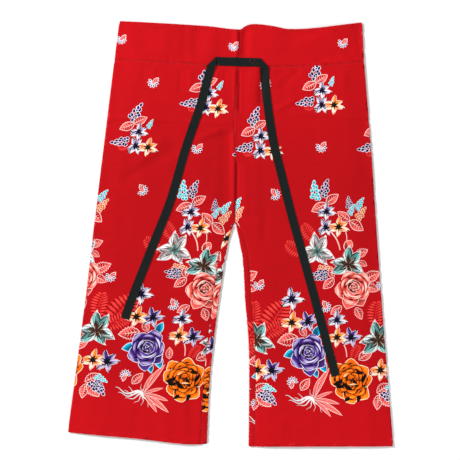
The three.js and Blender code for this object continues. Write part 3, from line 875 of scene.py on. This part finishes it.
def drawn(growthRows, blossomRows, place=0j):
    layers = []
    for make, ink, rows in growthRows:
        for baseX, baseY, tipX, tipY in rows:
            base, tip = complex(baseX, baseY), complex(tipX, tipY)
            layers += spun(motifOf(make, ink), base + place, (tip - base) / 1j)
    for make, ink, rows in blossomRows:
        for x, y, radius, turn in rows:
            layers += spun(motifOf(make, ink), complex(x, y) + place, turned(radius, turn))
    return layers


# How the repeat is leaned, sloped and moved to the grain of the left leg.
leftGrain = {"lean": 0.186, "slope": 0.1, "height": 0.975, "x": -329, "y": 23}


def legPrint(piece):
    # the repeats that reach this leg, on the shown side and on round to the hidden one
    repeat = drawn(growths, blossoms)
    for place in clusterPlaces:
        repeat += drawn(clusterGrowths, clusterBlossoms, place)
    counts = range(-1, 3) if piece.side == "right" else range(-3, 2)
    layers = [layer for k in counts for layer in spun(repeat, printRepeat * k, 1)]
    if piece.side == "left":
        for layer in layers:
            for name in ("points", "start", "end"):
                x, y = layer[name].real, layer[name].imag
                across = x + leftGrain["lean"] * y + leftGrain["x"]
                up = leftGrain["height"] * y - leftGrain["slope"] * x + leftGrain["y"]
                layer[name] = across + 1j * up
    return layers


# The sprigs on the yoke, the last two of them on its hidden side.
yokeSprigs = (-256 + 458j, 8 + 441j, 264 + 449j, -520 + 470j, 528 + 462j)


def yokePrint(piece):
    drawnSprig = motifOf(sprig, "sprig")
    return [layer for place in yokeSprigs for layer in spun(drawnSprig, place, 12 * np.exp(-0.1j))]


cutting = {
    "grid": 6.5,
    "insideGrid": 12,
    "fineGrid": 3.2,  # inside the fine box, which is given as west, east, south and north
    "fineBox": (-45, 90, 20, 500),
    "clear": 1.1,
    "chord": 0.07,
}


def edgesOf(triangles):
    return triangles.ravel(), np.roll(triangles, -1, axis=1).ravel()


def rimLoop(triangles, count):
    # the outer edge of the triangles, as places in order
    starts, ends = edgesOf(triangles)
    isRim = ~np.isin(starts * count + ends, ends * count + starts)
    following = dict(zip(starts[isRim].tolist(), ends[isRim].tolist()))
    here = next(iter(following))
    loop = []
    while here in following:
        loop.append(here)
        here = following.pop(here)
    return np.array(loop)


def triangulated(places, edges, outline, shapes):
    # Triangles inside the outline, all turned one way. Gives the places, the triangles, the topmost shape
    # of each and where each place came from.
    vectors = [Vector((place.real, place.imag)) for place in places]
    found = delaunay_2d_cdt(vectors, edges, [outline, *shapes], 1, 1e-3, True)
    points = np.array([complex(p.x, p.y) for p in found[0]])
    chosen = [(face, max(sources)) for face, sources in zip(found[2], found[5]) if 0 in sources]
    triangles, tops = (np.array(column) for column in zip(*chosen))
    a, b, c = (points[triangles[:, k]] for k in range(3))
    turnedOver = (np.conj(b - a) * (c - a)).imag < 0
    triangles[turnedOver] = triangles[turnedOver][:, ::-1]
    given = np.array([sources[0] if sources else -1 for sources in found[3]])
    return points, triangles, tops, given


def shapeEdges(points, triangles, tops, given, rim):
    # the edges where one shape of the print stops and the next begins, without places that they don't need
    count = len(points)
    starts, ends = edgesOf(triangles)
    owners = np.repeat(tops, 3)
    owner = dict(zip((starts * count + ends).tolist(), owners.tolist()))
    joins = {}
    for start, end, top in zip(starts.tolist(), ends.tolist(), owners.tolist()):
        if start < end and owner.get(end * count + start, top) != top:
            joins.setdefault(start, []).append(end)
            joins.setdefault(end, []).append(start)
    onRim = set(rim.tolist())
    for place in list(joins):
        if len(joins[place]) == 2 and place not in onRim:
            a, b = joins[place]
            span = points[b] - points[a]
            stray = abs(((points[place] - points[a]) * np.conj(span)).imag) / max(abs(span), 1e-9)
            if a != b and b not in joins[a] and (given[place] < 0 or stray < cutting["chord"]):
                joins[a][joins[a].index(place)] = b
                joins[b][joins[b].index(place)] = a
                del joins[place]
    return [(a, b) for a, others in joins.items() for b in others if a < b]


def isWithin(places, west, east, south, north):
    return (places.real > west) & (places.real < east) & (places.imag > south) & (places.imag < north)


def gridPlaces(piece, outline, step, box=None):
    # an even grid of triangles, clear of the side fold
    gridX, gridY = np.meshgrid(
        np.arange(outline.real.min(), outline.real.max(), step),
        np.arange(outline.imag.min(), outline.imag.max(), step * 0.866),
    )
    gridX[1::2] += step / 2
    grid = (gridX + 1j * gridY).ravel()
    arc = dot(grid - piece.start, piece.inward)
    keep = np.abs(arc) > foldRadius * math.pi / 2 + 4
    if box:
        keep &= (arc > 20) & isWithin(grid, *box)
    return grid[keep]


def clearOf(places, others, reach):
    # the places that are further than a reach from all the others
    tree = KDTree(len(others))
    for i, other in enumerate(others):
        tree.insert((other.real, other.imag, 0), i)
    tree.balance()
    return places[[tree.find((place.real, place.imag, 0))[2] > reach for place in places]]


def cutCloth(piece, outline, lines, layers):
    # Triangulates the opened piece so that every shape of the print has its own edges. Gives the places,
    # triangles, shape that shows in each, rim and shapes of the outer side, and then the places, triangles
    # and rim of a plain inner side.
    outline = outline if signedArea(outline) > 0 else outline[::-1]
    box = (outline.real.min(), outline.real.max(), outline.imag.min(), outline.imag.max())
    places, shapes, kept, start = [outline], [], [], len(outline)
    for layer in layers:
        shape = layer["points"]
        if isWithin(shape, *box).any():
            shapes.append(list(range(start, start + len(shape))))
            start += len(shape)
            places.append(shape)
            kept.append(layer)
    ring = list(range(len(outline)))
    points, triangles, tops, given = triangulated(np.concatenate(places), [], ring, shapes)
    lookup = BVHTree.FromPolygons([(p.real, p.imag, 0) for p in points], triangles.tolist())
    rim = rimLoop(triangles, len(points))
    edges = shapeEdges(points, triangles, tops, given, rim)
    firm = np.unique(np.concatenate([np.array(edges, int).ravel(), rim]))
    index = np.zeros(len(points), int)
    index[firm] = np.arange(len(firm))
    folds = np.concatenate([*lines, grown(outline, -1.6), grown(outline, -4.2)])
    fine = gridPlaces(piece, outline, cutting["fineGrid"], cutting["fineBox"])
    grid = np.concatenate([gridPlaces(piece, outline, cutting["grid"]), fine])
    free = [clearOf(folds, points[firm], 0.3), clearOf(grid, points[firm], cutting["clear"])]
    edges = [(int(index[a]), int(index[b])) for a, b in edges]
    free = np.concatenate([points[firm], *free])
    outer, outerFaces, _, _ = triangulated(free, edges, index[rim].tolist(), [])
    middles = outer[outerFaces].mean(axis=1)
    shows = tops[[lookup.find_nearest((middle.real, middle.imag, 0))[2] for middle in middles]] - 1
    outerRim = rimLoop(outerFaces, len(outer))
    coarse = clearOf(gridPlaces(piece, outline, cutting["insideGrid"]), fine, 4)
    inside = clearOf(np.concatenate([*lines, coarse, fine]), outer[outerRim], 1.0)
    ring = list(range(len(outerRim)))
    inner, innerFaces, _, given = triangulated(np.concatenate([outer[outerRim], inside]), [], ring, [])
    innerRim = np.zeros(len(outerRim), int)
    isRim = (given >= 0) & (given < len(outerRim))
    innerRim[given[isRim]] = np.nonzero(isRim)[0]
    return (outer, outerFaces, shows, outerRim, kept), (inner, innerFaces, innerRim)


def cornerColours(points, triangles, tops, layers):
    ground = {"near": redGround, "far": redGround, "start": 0j, "end": 1j, "radial": False}
    names = ("near", "far", "start", "end", "radial")
    near, far, start, end, radial = (np.array([layer[name] for layer in (ground, *layers)]) for name in names)
    which = np.repeat(tops + 1, 3)
    offset = points[triangles.ravel()] - start[which]
    reach = end[which] - start[which]
    along = dot(offset, reach) / np.abs(reach) ** 2
    share = smooth(np.where(radial[which], np.abs(offset) / np.abs(reach), along))[:, None]
    return near[which] * (1 - share) + far[which] * share


def addObject(name, data):
    made = bpy.data.objects.new(name, data)
    bpy.context.scene.collection.objects.link(made)
    return made


def makeShell(name, outer, inner, rims, material, inkColours=None):
    # A closed thin shell. Each side is its places, faces turned outwards, normals and places on the flat
    # cloth; the rims are the places of the two edges in step, and the colours are those of all corners but
    # the rim's.
    count, outerRim = len(outer[0]), rims[0]
    innerRim = rims[1] + count
    places = np.concatenate([outer[0], inner[0]])
    rim = np.stack([np.roll(outerRim, -1), outerRim, innerRim, np.roll(innerRim, -1)], axis=1)
    loops = np.concatenate([outer[1].ravel(), inner[1].ravel() + count, rim.ravel()])
    used, corner = np.unique(loops, return_inverse=True)
    starts = np.cumsum([outer[1].size, inner[1].size])
    faces = []
    for side, made in zip(np.split(corner, starts), (outer[1], inner[1], rim)):
        faces += side.reshape(made.shape).tolist()
    mesh = bpy.data.meshes.new(name)
    mesh.from_pydata((places[used] * metre).tolist(), [], faces)
    flat = np.concatenate([outer[3], inner[3]])[loops] * metre
    layer = mesh.uv_layers.new(name="cloth")
    layer.data.foreach_set("uv", np.stack([flat.real, flat.imag], axis=1).astype(np.float32).ravel())
    outward = unit(np.cross(places[np.roll(outerRim, -1)] - places[outerRim], outer[2][outerRim]))
    corners = [outer[2][outer[1].ravel()], inner[2][inner[1].ravel()], np.repeat(outward, 4, axis=0)]
    if inkColours is not None:
        every = np.concatenate([inkColours, np.repeat(redGround[None], rim.size, axis=0)])
        every = np.concatenate([every, np.ones((len(every), 1))], axis=1).astype(np.float32)
        mesh.color_attributes.new("ink", "FLOAT_COLOR", "CORNER").data.foreach_set("color", every.ravel())
    mesh.shade_smooth()
    mesh.normals_split_custom_set(np.concatenate(corners).tolist())
    mesh.materials.append(material)
    return addObject(name, mesh)


class Wire:
    # One output of a shader or geometry node, on which values are worked out by adding nodes.
    def __init__(self, tree, socket=None):
        self.tree, self.socket = tree, socket

    def node(self, kind, inputs=None, output=0, **settings):
        made = self.tree.nodes.new(kind)
        for name, value in settings.items():
            setattr(made, name, value)
        for key, value in (inputs or {}).items():
            if isinstance(value, Wire):
                self.tree.links.new(value.socket, made.inputs[key])
            else:
                made.inputs[key].default_value = value
        return Wire(self.tree, made.outputs[output])

    def maths(self, operation, first, second=0.0):
        return self.node("ShaderNodeMath", {0: first, 1: second}, operation=operation)

    def __add__(self, other):
        return self.maths("ADD", self, other)

    def __sub__(self, other):
        return self.maths("SUBTRACT", self, other)

    def __mul__(self, other):
        return self.maths("MULTIPLY", self, other)

    def sine(self):
        return self.maths("SINE", self)

    def parts(self):
        # the first two components of a vector
        return [self.node("ShaderNodeSeparateXYZ", {0: self}, k) for k in (0, 1)]

    def eased(self, start, end, height):
        values = {"Value": self, 1: start, 2: end, 3: 0.0, 4: height}
        return self.node("ShaderNodeMapRange", values, interpolation_type="SMOOTHSTEP")

    def mixed(self, first, second):
        return self.node("ShaderNodeMix", {0: self, 6: first, 7: second}, 2, data_type="RGBA")

    def scaled(self, x, y):
        return self.node("ShaderNodeVectorMath", {0: self, 1: (x, y, 1.0)}, operation="MULTIPLY")

    def noise(self, scale, detail=2.0):
        return self.node("ShaderNodeTexNoise", {"Vector": self, "Scale": scale, "Detail": detail})

    def bump(self, strength, distance):
        return self.node("ShaderNodeBump", {"Height": self, "Strength": strength, "Distance": distance})


def startMaterial(name, roughness, **sockets):
    material = bpy.data.materials.new(name)
    material.use_nodes = True
    shader = material.node_tree.nodes["Principled BSDF"]
    shader.inputs["Roughness"].default_value = roughness
    for key, value in sockets.items():
        shader.inputs[key.replace("_", " ")].default_value = value
    return material, Wire(material.node_tree), shader


def joined(material, shader, **wires):
    for key, wire in wires.items():
        material.node_tree.links.new(wire.socket, shader.inputs[key.replace("_", " ")])


cotton = {
    "threadPitch": 0.0006,  # metres between threads
    "slubLength": (22, 9),  # cells a metre along a thread
    "slubFineness": (620, 260),  # cells a metre across the threads
    "slubShade": (0.13, 0.16, 0.08),  # along the weft, fine and broad, and along the warp
    "clouds": 7.0,  # cells a metre
    "cloudShade": 0.08,
    # painted highlight and shade on the threads of the weave
    "weavePaintedHighlight": 0.03,
    "paintedLightTop": 0.19,  # painted light: how much brighter the cloth is painted at the waist, and at the hems
    "paintedLightFoot": 0.15,
    "weaveBump": 0.00024,
    "roughness": 0.86,
}


def cottonMaterial():
    material, wire, shader = startMaterial(
        "printedCotton", cotton["roughness"], Sheen_Weight=0.02, Sheen_Roughness=0.5, Specular_IOR_Level=0.1
    )
    place = wire.node("ShaderNodeUVMap", uv_map="cloth")
    ink = wire.node("ShaderNodeVertexColor", layer_name="ink")
    u, v = place.parts()
    (fineLength, broadLength), (fineness, broadness) = cotton["slubLength"], cotton["slubFineness"]
    fine = place.scaled(fineLength, fineness).noise(1.0, 3.0)
    broad = place.scaled(broadLength, broadness).noise(1.0, 4.0)
    warp = place.scaled(fineness * 1.2, fineLength * 1.4).noise(1.0, 2.0)
    cloud = place.noise(cotton["clouds"], 4.0)
    turn = 2 * math.pi / cotton["threadPitch"]
    weave = (u * turn).sine() * (v * turn).sine()
    # painted light: the cloth's colour is made brighter towards the waist and towards the hems
    paintedLight = v.eased(0.1, 0.47, cotton["paintedLightTop"]) + v.eased(-0.28, -0.45, cotton["paintedLightFoot"])
    fineShade, broadShade, warpShade = cotton["slubShade"]
    streaks = (fine - 0.5) * fineShade + (broad - 0.5) * broadShade + (warp - 0.5) * warpShade
    # the weave term paints a highlight and a shade on each thread
    shade = streaks + (cloud - 0.5) * cotton["cloudShade"] + weave * cotton["weavePaintedHighlight"] + paintedLight + 1.0
    grey = wire.node("ShaderNodeCombineColor", {0: shade, 1: shade, 2: shade})
    blend = {"data_type": "RGBA", "blend_type": "MULTIPLY"}
    printed = wire.node("ShaderNodeMix", {0: 1.0, 6: ink, 7: grey}, 2, **blend)
    height = weave * 0.3 + fine * 1.0 + broad * 1.2 + warp * 0.5
    joined(material, shader, Base_Color=printed, Normal=height.bump(0.6, cotton["weaveBump"]))
    joined(material, shader, Roughness=fine * 0.12 + (cotton["roughness"] - 0.06))
    return material


tape = {
    "width": 20.0,
    "wall": 0.9,
    "clearance": 0.4,
    "bendRadius": 0.7,
    "straight": 12,
    "doubledReach": 14,
    "slantedReach": 16,
    "straightenReach": 22,
    "stiffness": (3.4, 8),
    "leftFold": (complex(-43, 406.2), complex(0.738, 0.675)),
    "rightFold": (complex(78.5, 402.8), complex(0.682, -0.731)),
    "leftRoute": [
        -58 + 350j, -70 + 304j, -106 + 199.5j, -141 + 79.5j, -188 - 40j, -233.5 - 156j, -248.5 - 200j,
    ],
    "rightRoute": [
        82.6 + 346j, 87 + 304j, 100 + 220j, 120.5 + 136j, 144 + 42.5j, 179 - 83.5j, 223 - 245j,
        247.5 - 334.5j,
    ],
    "sewnRows": (-16, -8, 0.0, 8, 16),
    "rowsBefore": (-30, -24, -18, -12, -8, -4, -2, -0.8, -0.2),  # before the fold's bend starts
    "rowsPast": (2.9, 3.8, 6, *range(9, 45, 3)),
    "rowStep": 4.0,
    "columns": 10,
    "thinEdge": 0.45,  # share of the wall that is missing at the woven edges
    "cordPitch": 0.0022,  # metres
    "twillPitch": 0.0009,
}


def tapeMaterial():
    material, wire, shader = startMaterial(
        "blackTape", 0.88, Sheen_Weight=0.03, Sheen_Roughness=0.5, Specular_IOR_Level=0.12
    )
    place = wire.node("ShaderNodeUVMap", uv_map="cloth")
    across, along = place.parts()
    cord = (across * (2 * math.pi / tape["cordPitch"])).sine()
    twill = ((along + across) * (2 * math.pi / tape["twillPitch"])).sine()
    dust = place.scaled(900, 260).noise(1.0, 3.0)
    shade = dust * 0.7 + cord * 0.09 + twill * 0.06 + 0.05
    height = cord * 0.6 + twill * 0.3 + dust * 0.5
    colour = shade.mixed((0.0035, 0.0062, 0.0058, 1), (0.0125, 0.0185, 0.0172, 1))
    joined(material, shader, Base_Color=colour, Normal=height.bump(0.6, 0.0003))
    joined(material, shader, Roughness=dust * 0.16 + 0.8)
    return material


def threadMaterial(name, colour):
    material, wire, shader = startMaterial(name, 0.7, Sheen_Weight=0.1)
    fuzz = wire.node("ShaderNodeTexCoord", output=3).noise(900.0)
    joined(material, shader, Base_Color=fuzz.mixed(tuple(colour * 0.7) + (1,), tuple(colour) + (1,)))
    return material


def makeTailLine(fold, sign, right, route):
    # the middle line of one tail, from just past its fold, as points a millimetre or two apart
    at, along = fold[0], fold[1] / abs(fold[1])
    out = right * sign
    past = out - along * dot(out, along)
    past /= abs(past)
    away = 2 * dot(out, along) * along - out
    first = at + past * math.pi * tape["bendRadius"]
    points = [first, first, first + away * tape["straight"], *route, route[-1]]
    t = np.linspace(0, 1, 120, endpoint=False)
    line = []
    for i in range(1, len(points) - 2):
        before, here, there, after = points[i - 1 : i + 3]
        leave, arrive = (there - before) / 2, (after - here) / 2
        cube = 2 * here - 2 * there + leave + arrive
        square = 3 * there - 3 * here - 2 * leave - arrive
        line.extend(cube * t**3 + square * t**2 + leave * t + here)
    line = np.array([*line, points[-1]])
    ways = {"at": at, "along": along, "past": past, "out": out}
    return {**ways, "line": line, "run": runAlong(line), "sign": sign}


def restingHeight(x, y):
    # the tape spans dips of the cloth that are narrower than its own stiffness
    stepX, stepY = tape["stiffness"]
    spans = [(i * stepX, j * stepY) for i in (-1, 0, 1) for j in (-1, 0, 1)]
    cloth = np.max([shownHeight(x + dx, y + dy) for dx, dy in spans], axis=0)
    return cloth + tape["clearance"] + tape["wall"] / 2


def tapeRows(half, across, tails):
    # rows of places across the tape, each as its distance from the middle and its lean
    rows = [(distance, 0.0) for distance in tape["sewnRows"]]
    for tail in tails:
        slant = dot(tail["past"], tail["out"])
        lean = -dot(tail["past"], across) / slant
        bend = np.linspace(0, math.pi * tape["bendRadius"], 9)
        near = [*tape["rowsBefore"], *bend, *tape["rowsPast"]]
        for distance in near:
            leaning = lean * (1 - smooth((abs(distance) - tape["slantedReach"]) / tape["straightenReach"]))
            rows.append((tail["sign"] * (half + distance * (1 / slant)), tail["sign"] * leaning))
        for beyond in between(near[-1] * (1 / slant), tail["run"][-1], tape["rowStep"])[1:]:
            rows.append((tail["sign"] * (half + beyond), 0.0))
    return np.array(sorted(rows, key=lambda row: row[0]))


def makeTape(material):
    leftAt, rightAt = tape["leftFold"][0], tape["rightFold"][0]
    half, middle = abs(rightAt - leftAt) / 2, (leftAt + rightAt) / 2
    right = (rightAt - leftAt) / abs(rightAt - leftAt)
    across = right * 1j
    radius, edge = tape["bendRadius"], tape["width"] / 2
    tails = [
        makeTailLine(tape["leftFold"], -1, right, tape["leftRoute"]),
        makeTailLine(tape["rightFold"], 1, right, tape["rightRoute"]),
    ]
    rows = tapeRows(half, across, tails)
    # a runs along the tape and b across it, as on the flat tape
    b = np.linspace(edge, -edge, tape["columns"] + 1)
    a = rows[:, :1] + rows[:, 1:] * b
    b = np.broadcast_to(b, a.shape)
    place, side = np.zeros(a.shape, complex), np.zeros(a.shape, complex)
    turn, doubled = np.zeros(a.shape), np.zeros(a.shape)
    for tail in tails:
        mine = np.sign(a) == tail["sign"]
        beyond = np.abs(a) - half
        q = tail["out"] * beyond + across * b
        past = dot(q, tail["past"])
        foldPoint = tail["at"] + tail["along"] * dot(q, tail["along"])
        run, line = tail["run"], tail["line"]
        share = np.clip(beyond, 0, run[-1])
        ahead, behind = (sampled(np.clip(share + step, 0, run[-1]), run, line) for step in (2, -2))
        way = (ahead - behind) / np.maximum(np.abs(ahead - behind), 1e-9)
        spot = sampled(share, run, line) - 1j * way * tail["sign"] * b + np.minimum(beyond, 0) * way
        below = -dot(spot - middle, across) - edge
        isTail, isBend = mine & (past >= math.pi * radius), mine & (past > 0) & (past < math.pi * radius)
        place = np.where(isTail, spot, np.where(isBend, foldPoint, place))
        turn = np.where(isTail, math.pi, np.where(isBend, past / radius, turn))
        side = np.where(mine, tail["past"], side)
        doubled = np.where(isTail, 2 * radius * (1 - smooth(below / tape["doubledReach"])), doubled)
    place = np.where(turn == 0, middle + right * a + across * b, place)
    base = restingHeight(place.real, place.imag)
    bending = (turn > 0) & (turn < math.pi)
    outwards = np.stack([side.real * np.sin(turn), side.imag * np.sin(turn), -np.cos(turn)], axis=-1)
    onBend = np.stack([place.real, place.imag, base + radius], axis=-1) + outwards * radius
    centre = np.stack([place.real, place.imag, base + doubled], axis=-1)
    centre = np.where(bending[..., None], onBend, centre)
    thin = tape["wall"] / 2 * (1 - tape["thinEdge"] * (np.abs(b) / edge) ** 10)[..., None]
    topSide, underSide = centre - outwards * thin, centre + outwards * thin
    index = np.arange(a.size).reshape(a.shape)
    faces = np.stack([index[:-1, :-1], index[:-1, 1:], index[1:, 1:], index[1:, :-1]], axis=-1).reshape(-1, 4)
    normals = unit(np.cross(np.gradient(topSide, axis=1), np.gradient(topSide, axis=0))).reshape(-1, 3)
    flat = (b + 1j * a).ravel()
    outer = (topSide.reshape(-1, 3), faces, normals, flat)
    inner = (underSide.reshape(-1, 3), faces[:, ::-1], -normals, flat)
    rim = rimLoop(faces, index.size)
    made = makeShell("tapeTie", outer, inner, (rim, rim), material)
    return made, 2 * half + sum(tail["run"][-1] for tail in tails)


# Stitches: a thread dash repeated along lines on the cloth.
stitching = {"pitch": 3.2, "length": 2.2, "thread": 0.55, "lift": 0.05, "lowest": 0.12}
# the tight seam row in the groove, in a thick dark thread that is partly real seam thread and partly painted
# shade of the groove
seamShadeStitching = {"pitch": 3.0, "length": 2.9, "thread": 0.9, "beside": 0.4}
# where the tie is tacked to the yoke: single long stitches, as x, y, dx, dy
tacking = {
    "pitch": 2.0,
    "length": 2.8,
    "thread": 0.55,
    "rows": [
        (-36, 404.5, 2, 5), (-30, 399, 3, -1), (45, 405, 1, 5), (51, 401, 3, -2), (58, 407, -2, 3),
        (64, 399, 3, 2),
    ],
}


def stitchTree():
    tree = bpy.data.node_groups.new("rowOfStitches", "GeometryNodeTree")
    face = tree.interface
    face.new_socket("Line", in_out="INPUT", socket_type="NodeSocketGeometry")
    for name in ("Pitch", "Length", "Thread"):
        face.new_socket(name, in_out="INPUT", socket_type="NodeSocketFloat")
    face.new_socket("Finish", in_out="INPUT", socket_type="NodeSocketMaterial")
    face.new_socket("Stitches", in_out="OUTPUT", socket_type="NodeSocketGeometry")
    given = tree.nodes.new("NodeGroupInput")
    line, pitch, length, thread, finish = (Wire(tree, given.outputs[k]) for k in range(5))
    wire = Wire(tree)
    curve = wire.node("GeometryNodeMeshToCurve", {0: line})
    points = wire.node("GeometryNodeResampleCurve", {"Curve": curve, "Length": pitch}, mode="LENGTH")
    dash = wire.node("GeometryNodeMeshUVSphere", {"Segments": 6, "Rings": 4, "Radius": 0.5})
    soft = wire.node("GeometryNodeSetShadeSmooth", {"Geometry": dash})
    tangent = wire.node("GeometryNodeInputTangent")
    lean = wire.node("FunctionNodeAlignRotationToVector", {"Vector": tangent}, axis="Z")
    size = wire.node("ShaderNodeCombineXYZ", {0: thread, 1: thread, 2: length})
    placed = {"Points": points, "Instance": soft, "Rotation": lean, "Scale": size}
    rows = wire.node("GeometryNodeInstanceOnPoints", placed)
    real = wire.node("GeometryNodeRealizeInstances", {0: rows})
    done = wire.node("GeometryNodeSetMaterial", {"Geometry": real, "Material": finish})
    out = tree.nodes.new("NodeGroupOutput")
    tree.links.new(done.socket, out.inputs[0])
    return tree


def makeStitches(name, lines, material, tree, sizes):
    points, edges = [], []
    for line in lines:
        edges += [(len(points) + i, len(points) + i + 1) for i in range(len(line) - 1)]
        points.extend((line * metre).tolist())
    mesh = bpy.data.meshes.new(name + "Line")
    mesh.from_pydata(points, edges, [])
    source = addObject(name + "Line", mesh)
    modifier = source.modifiers.new("stitches", "NODES")
    modifier.node_group = tree
    values = {part: sizes[part.lower()] * metre for part in ("Pitch", "Length", "Thread")}
    values["Finish"] = material
    for item in tree.interface.items_tree:
        if item.in_out == "INPUT" and item.name in values:
            modifier[item.identifier] = values[item.name]
    depsgraph = bpy.context.evaluated_depsgraph_get()
    baked = bpy.data.meshes.new_from_object(source.evaluated_get(depsgraph))
    made = addObject(name, baked)
    bpy.data.objects.remove(source)
    return made


def stitchedLine(piece, places, step=1.5):
    # a line on the opened cloth, followed over folds and round edges
    run = runAlong(places)
    places = sampled(np.arange(0, run[-1], step), run, places)
    line = piece.outsideOf(places) + piece.normalsAt(places) * stitching["lift"]
    line[:, 2] = np.maximum(line[:, 2], stitching["lowest"])
    return line


def waistStitches(piece):
    centre, rim = centreAt(484) + piece.direction * 3, piece.rimAt(sideEdges["y"][-1])
    line = acrossAt(lambda x: waistAt(x) - relief["hemStitch"], centre, rim, 4)
    return stitchedLine(piece, piece.openedAllRound(line))


def footStitches(piece):
    def level(x):
        return hemAt(x, piece.side) + relief["hemStitch"]

    shown = acrossAt(level, inseamAt(piece.ankle, piece.side) + piece.direction * 3, piece.foot, 6)
    under = acrossAt(level, piece.foot, piece.tangentAt(piece.ankle), 6)
    return stitchedLine(piece, np.concatenate([piece.opened(shown, False), piece.opened(under, True)]))


def seamStitches(piece):
    # the yoke seam all round, the inseam and, once, the seam at the centre, in dark stitches that also paint
    # the shade of the seam grooves
    side, beside = piece.side, piece.direction * seamShadeStitching["beside"]
    rim = piece.rimAt(yokeAt(sideAt(400, side)))
    yoke = acrossAt(lambda x: yokeAt(x) - seamShadeStitching["beside"], centreAt(400) + piece.direction * 2, rim, 4)
    down = between(crotch.imag - 24, piece.ankle + 3, 6)
    inseam = inseamAt(down, side) + beside + 1j * down
    lines = [piece.openedAllRound(yoke), piece.opened(inseam, False)]
    if side == "right":
        rise = between(crotch.imag + 4, 398, 6)
        lines.append(piece.opened(centreAt(rise) + beside + 1j * rise, False))
    return [stitchedLine(piece, line) for line in lines]


def clothPiece(name, node, side, outline, top, bottom, hasInseam, layers, material):
    piece = Unrolled(side)
    lines = foldLines(piece, top, bottom, hasInseam)
    shown, hidden = cutCloth(piece, outline(piece), lines, layers(piece))
    (flat, faces, shows, rim, kept), (underFlat, underFaces, underRim) = shown, hidden
    places, normals = piece.outsideOf(flat), piece.normalsAt(flat)
    underNormals = piece.normalsAt(underFlat)
    under = piece.outsideOf(underFlat) - underNormals * lie["cloth"]
    plain = np.repeat(redInside[None], underFaces.size, axis=0)
    colours = np.concatenate([cornerColours(flat, faces, shows, kept), plain])
    sides = (places, faces, normals, flat), (under, underFaces[:, ::-1], -underNormals, underFlat)
    made = makeShell(name, *sides, (rim, underRim), material, colours)
    a, b, c = (places[faces[:, k]] for k in range(3))
    area = np.linalg.norm(np.cross(b - a, c - a), axis=1).sum() / 2 * metre**2
    size = (np.ptp(flat.real) * metre, np.ptp(flat.imag) * metre)
    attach(made, "root")
    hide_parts(node)
    cut = [round(value, 3) for value in (*size, area)]
    print(name, len(faces), "triangles outside and", len(underFaces), "inside, cut", cut)


print("cloth pieces")
cottonFinish = cottonMaterial()
rows = [
    # name, node, side, outline, top, bottom, whether it has an inseam, print
    ("legLeftCloth", "leg_left", "left", legOutline, 412j - 270, -480j - 380, True, legPrint),
    ("legRightCloth", "leg_right", "right", legOutline, 412j + 320, -505j + 380, True, legPrint),
    ("waistLeftCloth", "waistband_left", "left", yokeOutline, 505j - 262, 400j - 270, False, yokePrint),
    ("waistRightCloth", "waistband_right", "right", yokeOutline, 505j + 310, 400j + 316, False, yokePrint),
]
for row in rows:
    clothPiece(*row, cottonFinish)

print("stitches")
stitchRows = stitchTree()
hemLines = [run(Unrolled(side)) for run in (waistStitches, footStitches) for side in ("left", "right")]
redThread = threadMaterial("redThread", inkOf(160, 10, 20))
hemStitches = makeStitches("hemStitches", hemLines, redThread, stitchRows, stitching)
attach(hemStitches, "root")

seamLines = [line for side in ("left", "right") for line in seamStitches(Unrolled(side))]
# a thread much darker than the hem thread: real seam thread, and painted shade of the seam grooves
seamThreadAndPaintedShade = threadMaterial("darkRedThreadAndPaintedShade", inkOf(92, 4, 10))
seams = makeStitches("seamStitches", seamLines, seamThreadAndPaintedShade, stitchRows, seamShadeStitching)
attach(seams, "root")

print("tie")
tie, tieLength = makeTape(tapeMaterial())
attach(tie, "root")
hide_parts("tie")
tieSize = (tape["width"] * metre, tieLength * metre)
print("tie length", round(tieLength))


def tackLine(x, y, dx, dy):
    t = np.linspace(0, 1, 3)
    line = x + dx * t, y + dy * t
    return np.stack([*line, restingHeight(*line) + tape["wall"] / 2], axis=1)


tackLines = [tackLine(*row) for row in tacking["rows"]]
tacks = makeStitches("tieTacks", tackLines, redThread, stitchRows, tacking)
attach(tacks, "root")

studio = {
    "floor": 4,  # half the side of the floor, in metres
    "floorLevel": -0.0004,
    "sky": 0.36,
    # place, size and power of each light
    "keyLight": ((-5.6, 2.8, 3.3), 1.54, 672),
    "fillLight": ((2.0, -1.5, 2.9), 2.6, 54),
}
print("floor, light and camera")
floorMesh = bpy.data.meshes.new("floor")
reach, level = studio["floor"], studio["floorLevel"]
corners = [(-reach, -reach, level), (reach, -reach, level), (reach, reach, level), (-reach, reach, level)]
floorMesh.from_pydata(corners, [], [(0, 1, 2, 3)])
floor = addObject("floor", floorMesh)
floorFinish, floorWire, floorShader = startMaterial("paleFloor", 0.9, Base_Color=(0.9, 0.9, 0.9, 1))
floorMesh.materials.append(floorFinish)


def addLight(name, place, size, power):
    light = bpy.data.lights.new(name, "AREA")
    light.size, light.energy = size, power
    made = addObject(name, light)
    made.location = place
    made.rotation_euler = (-Vector(place)).to_track_quat("-Z", "Y").to_euler()


for name in ("keyLight", "fillLight"):
    addLight(name, *studio[name])
world = bpy.data.worlds.new("studio")
world.use_nodes = True
world.node_tree.nodes["Background"].inputs["Color"].default_value = (1, 1, 1, 1)
world.node_tree.nodes["Background"].inputs["Strength"].default_value = studio["sky"]
bpy.context.scene.world = world
bpy.context.scene.view_settings.view_transform = "Standard"

view = {"lens": 85, "sensor": 36, "across": 1.0824, "centre": (-0.0014, 0.0089)}
camera = addObject("camera", bpy.data.cameras.new("camera"))
camera.data.lens, camera.data.sensor_width = view["lens"], view["sensor"]
camera.location = (*view["centre"], view["across"] * view["lens"] / view["sensor"] + 0.005)
bpy.context.scene.camera = camera
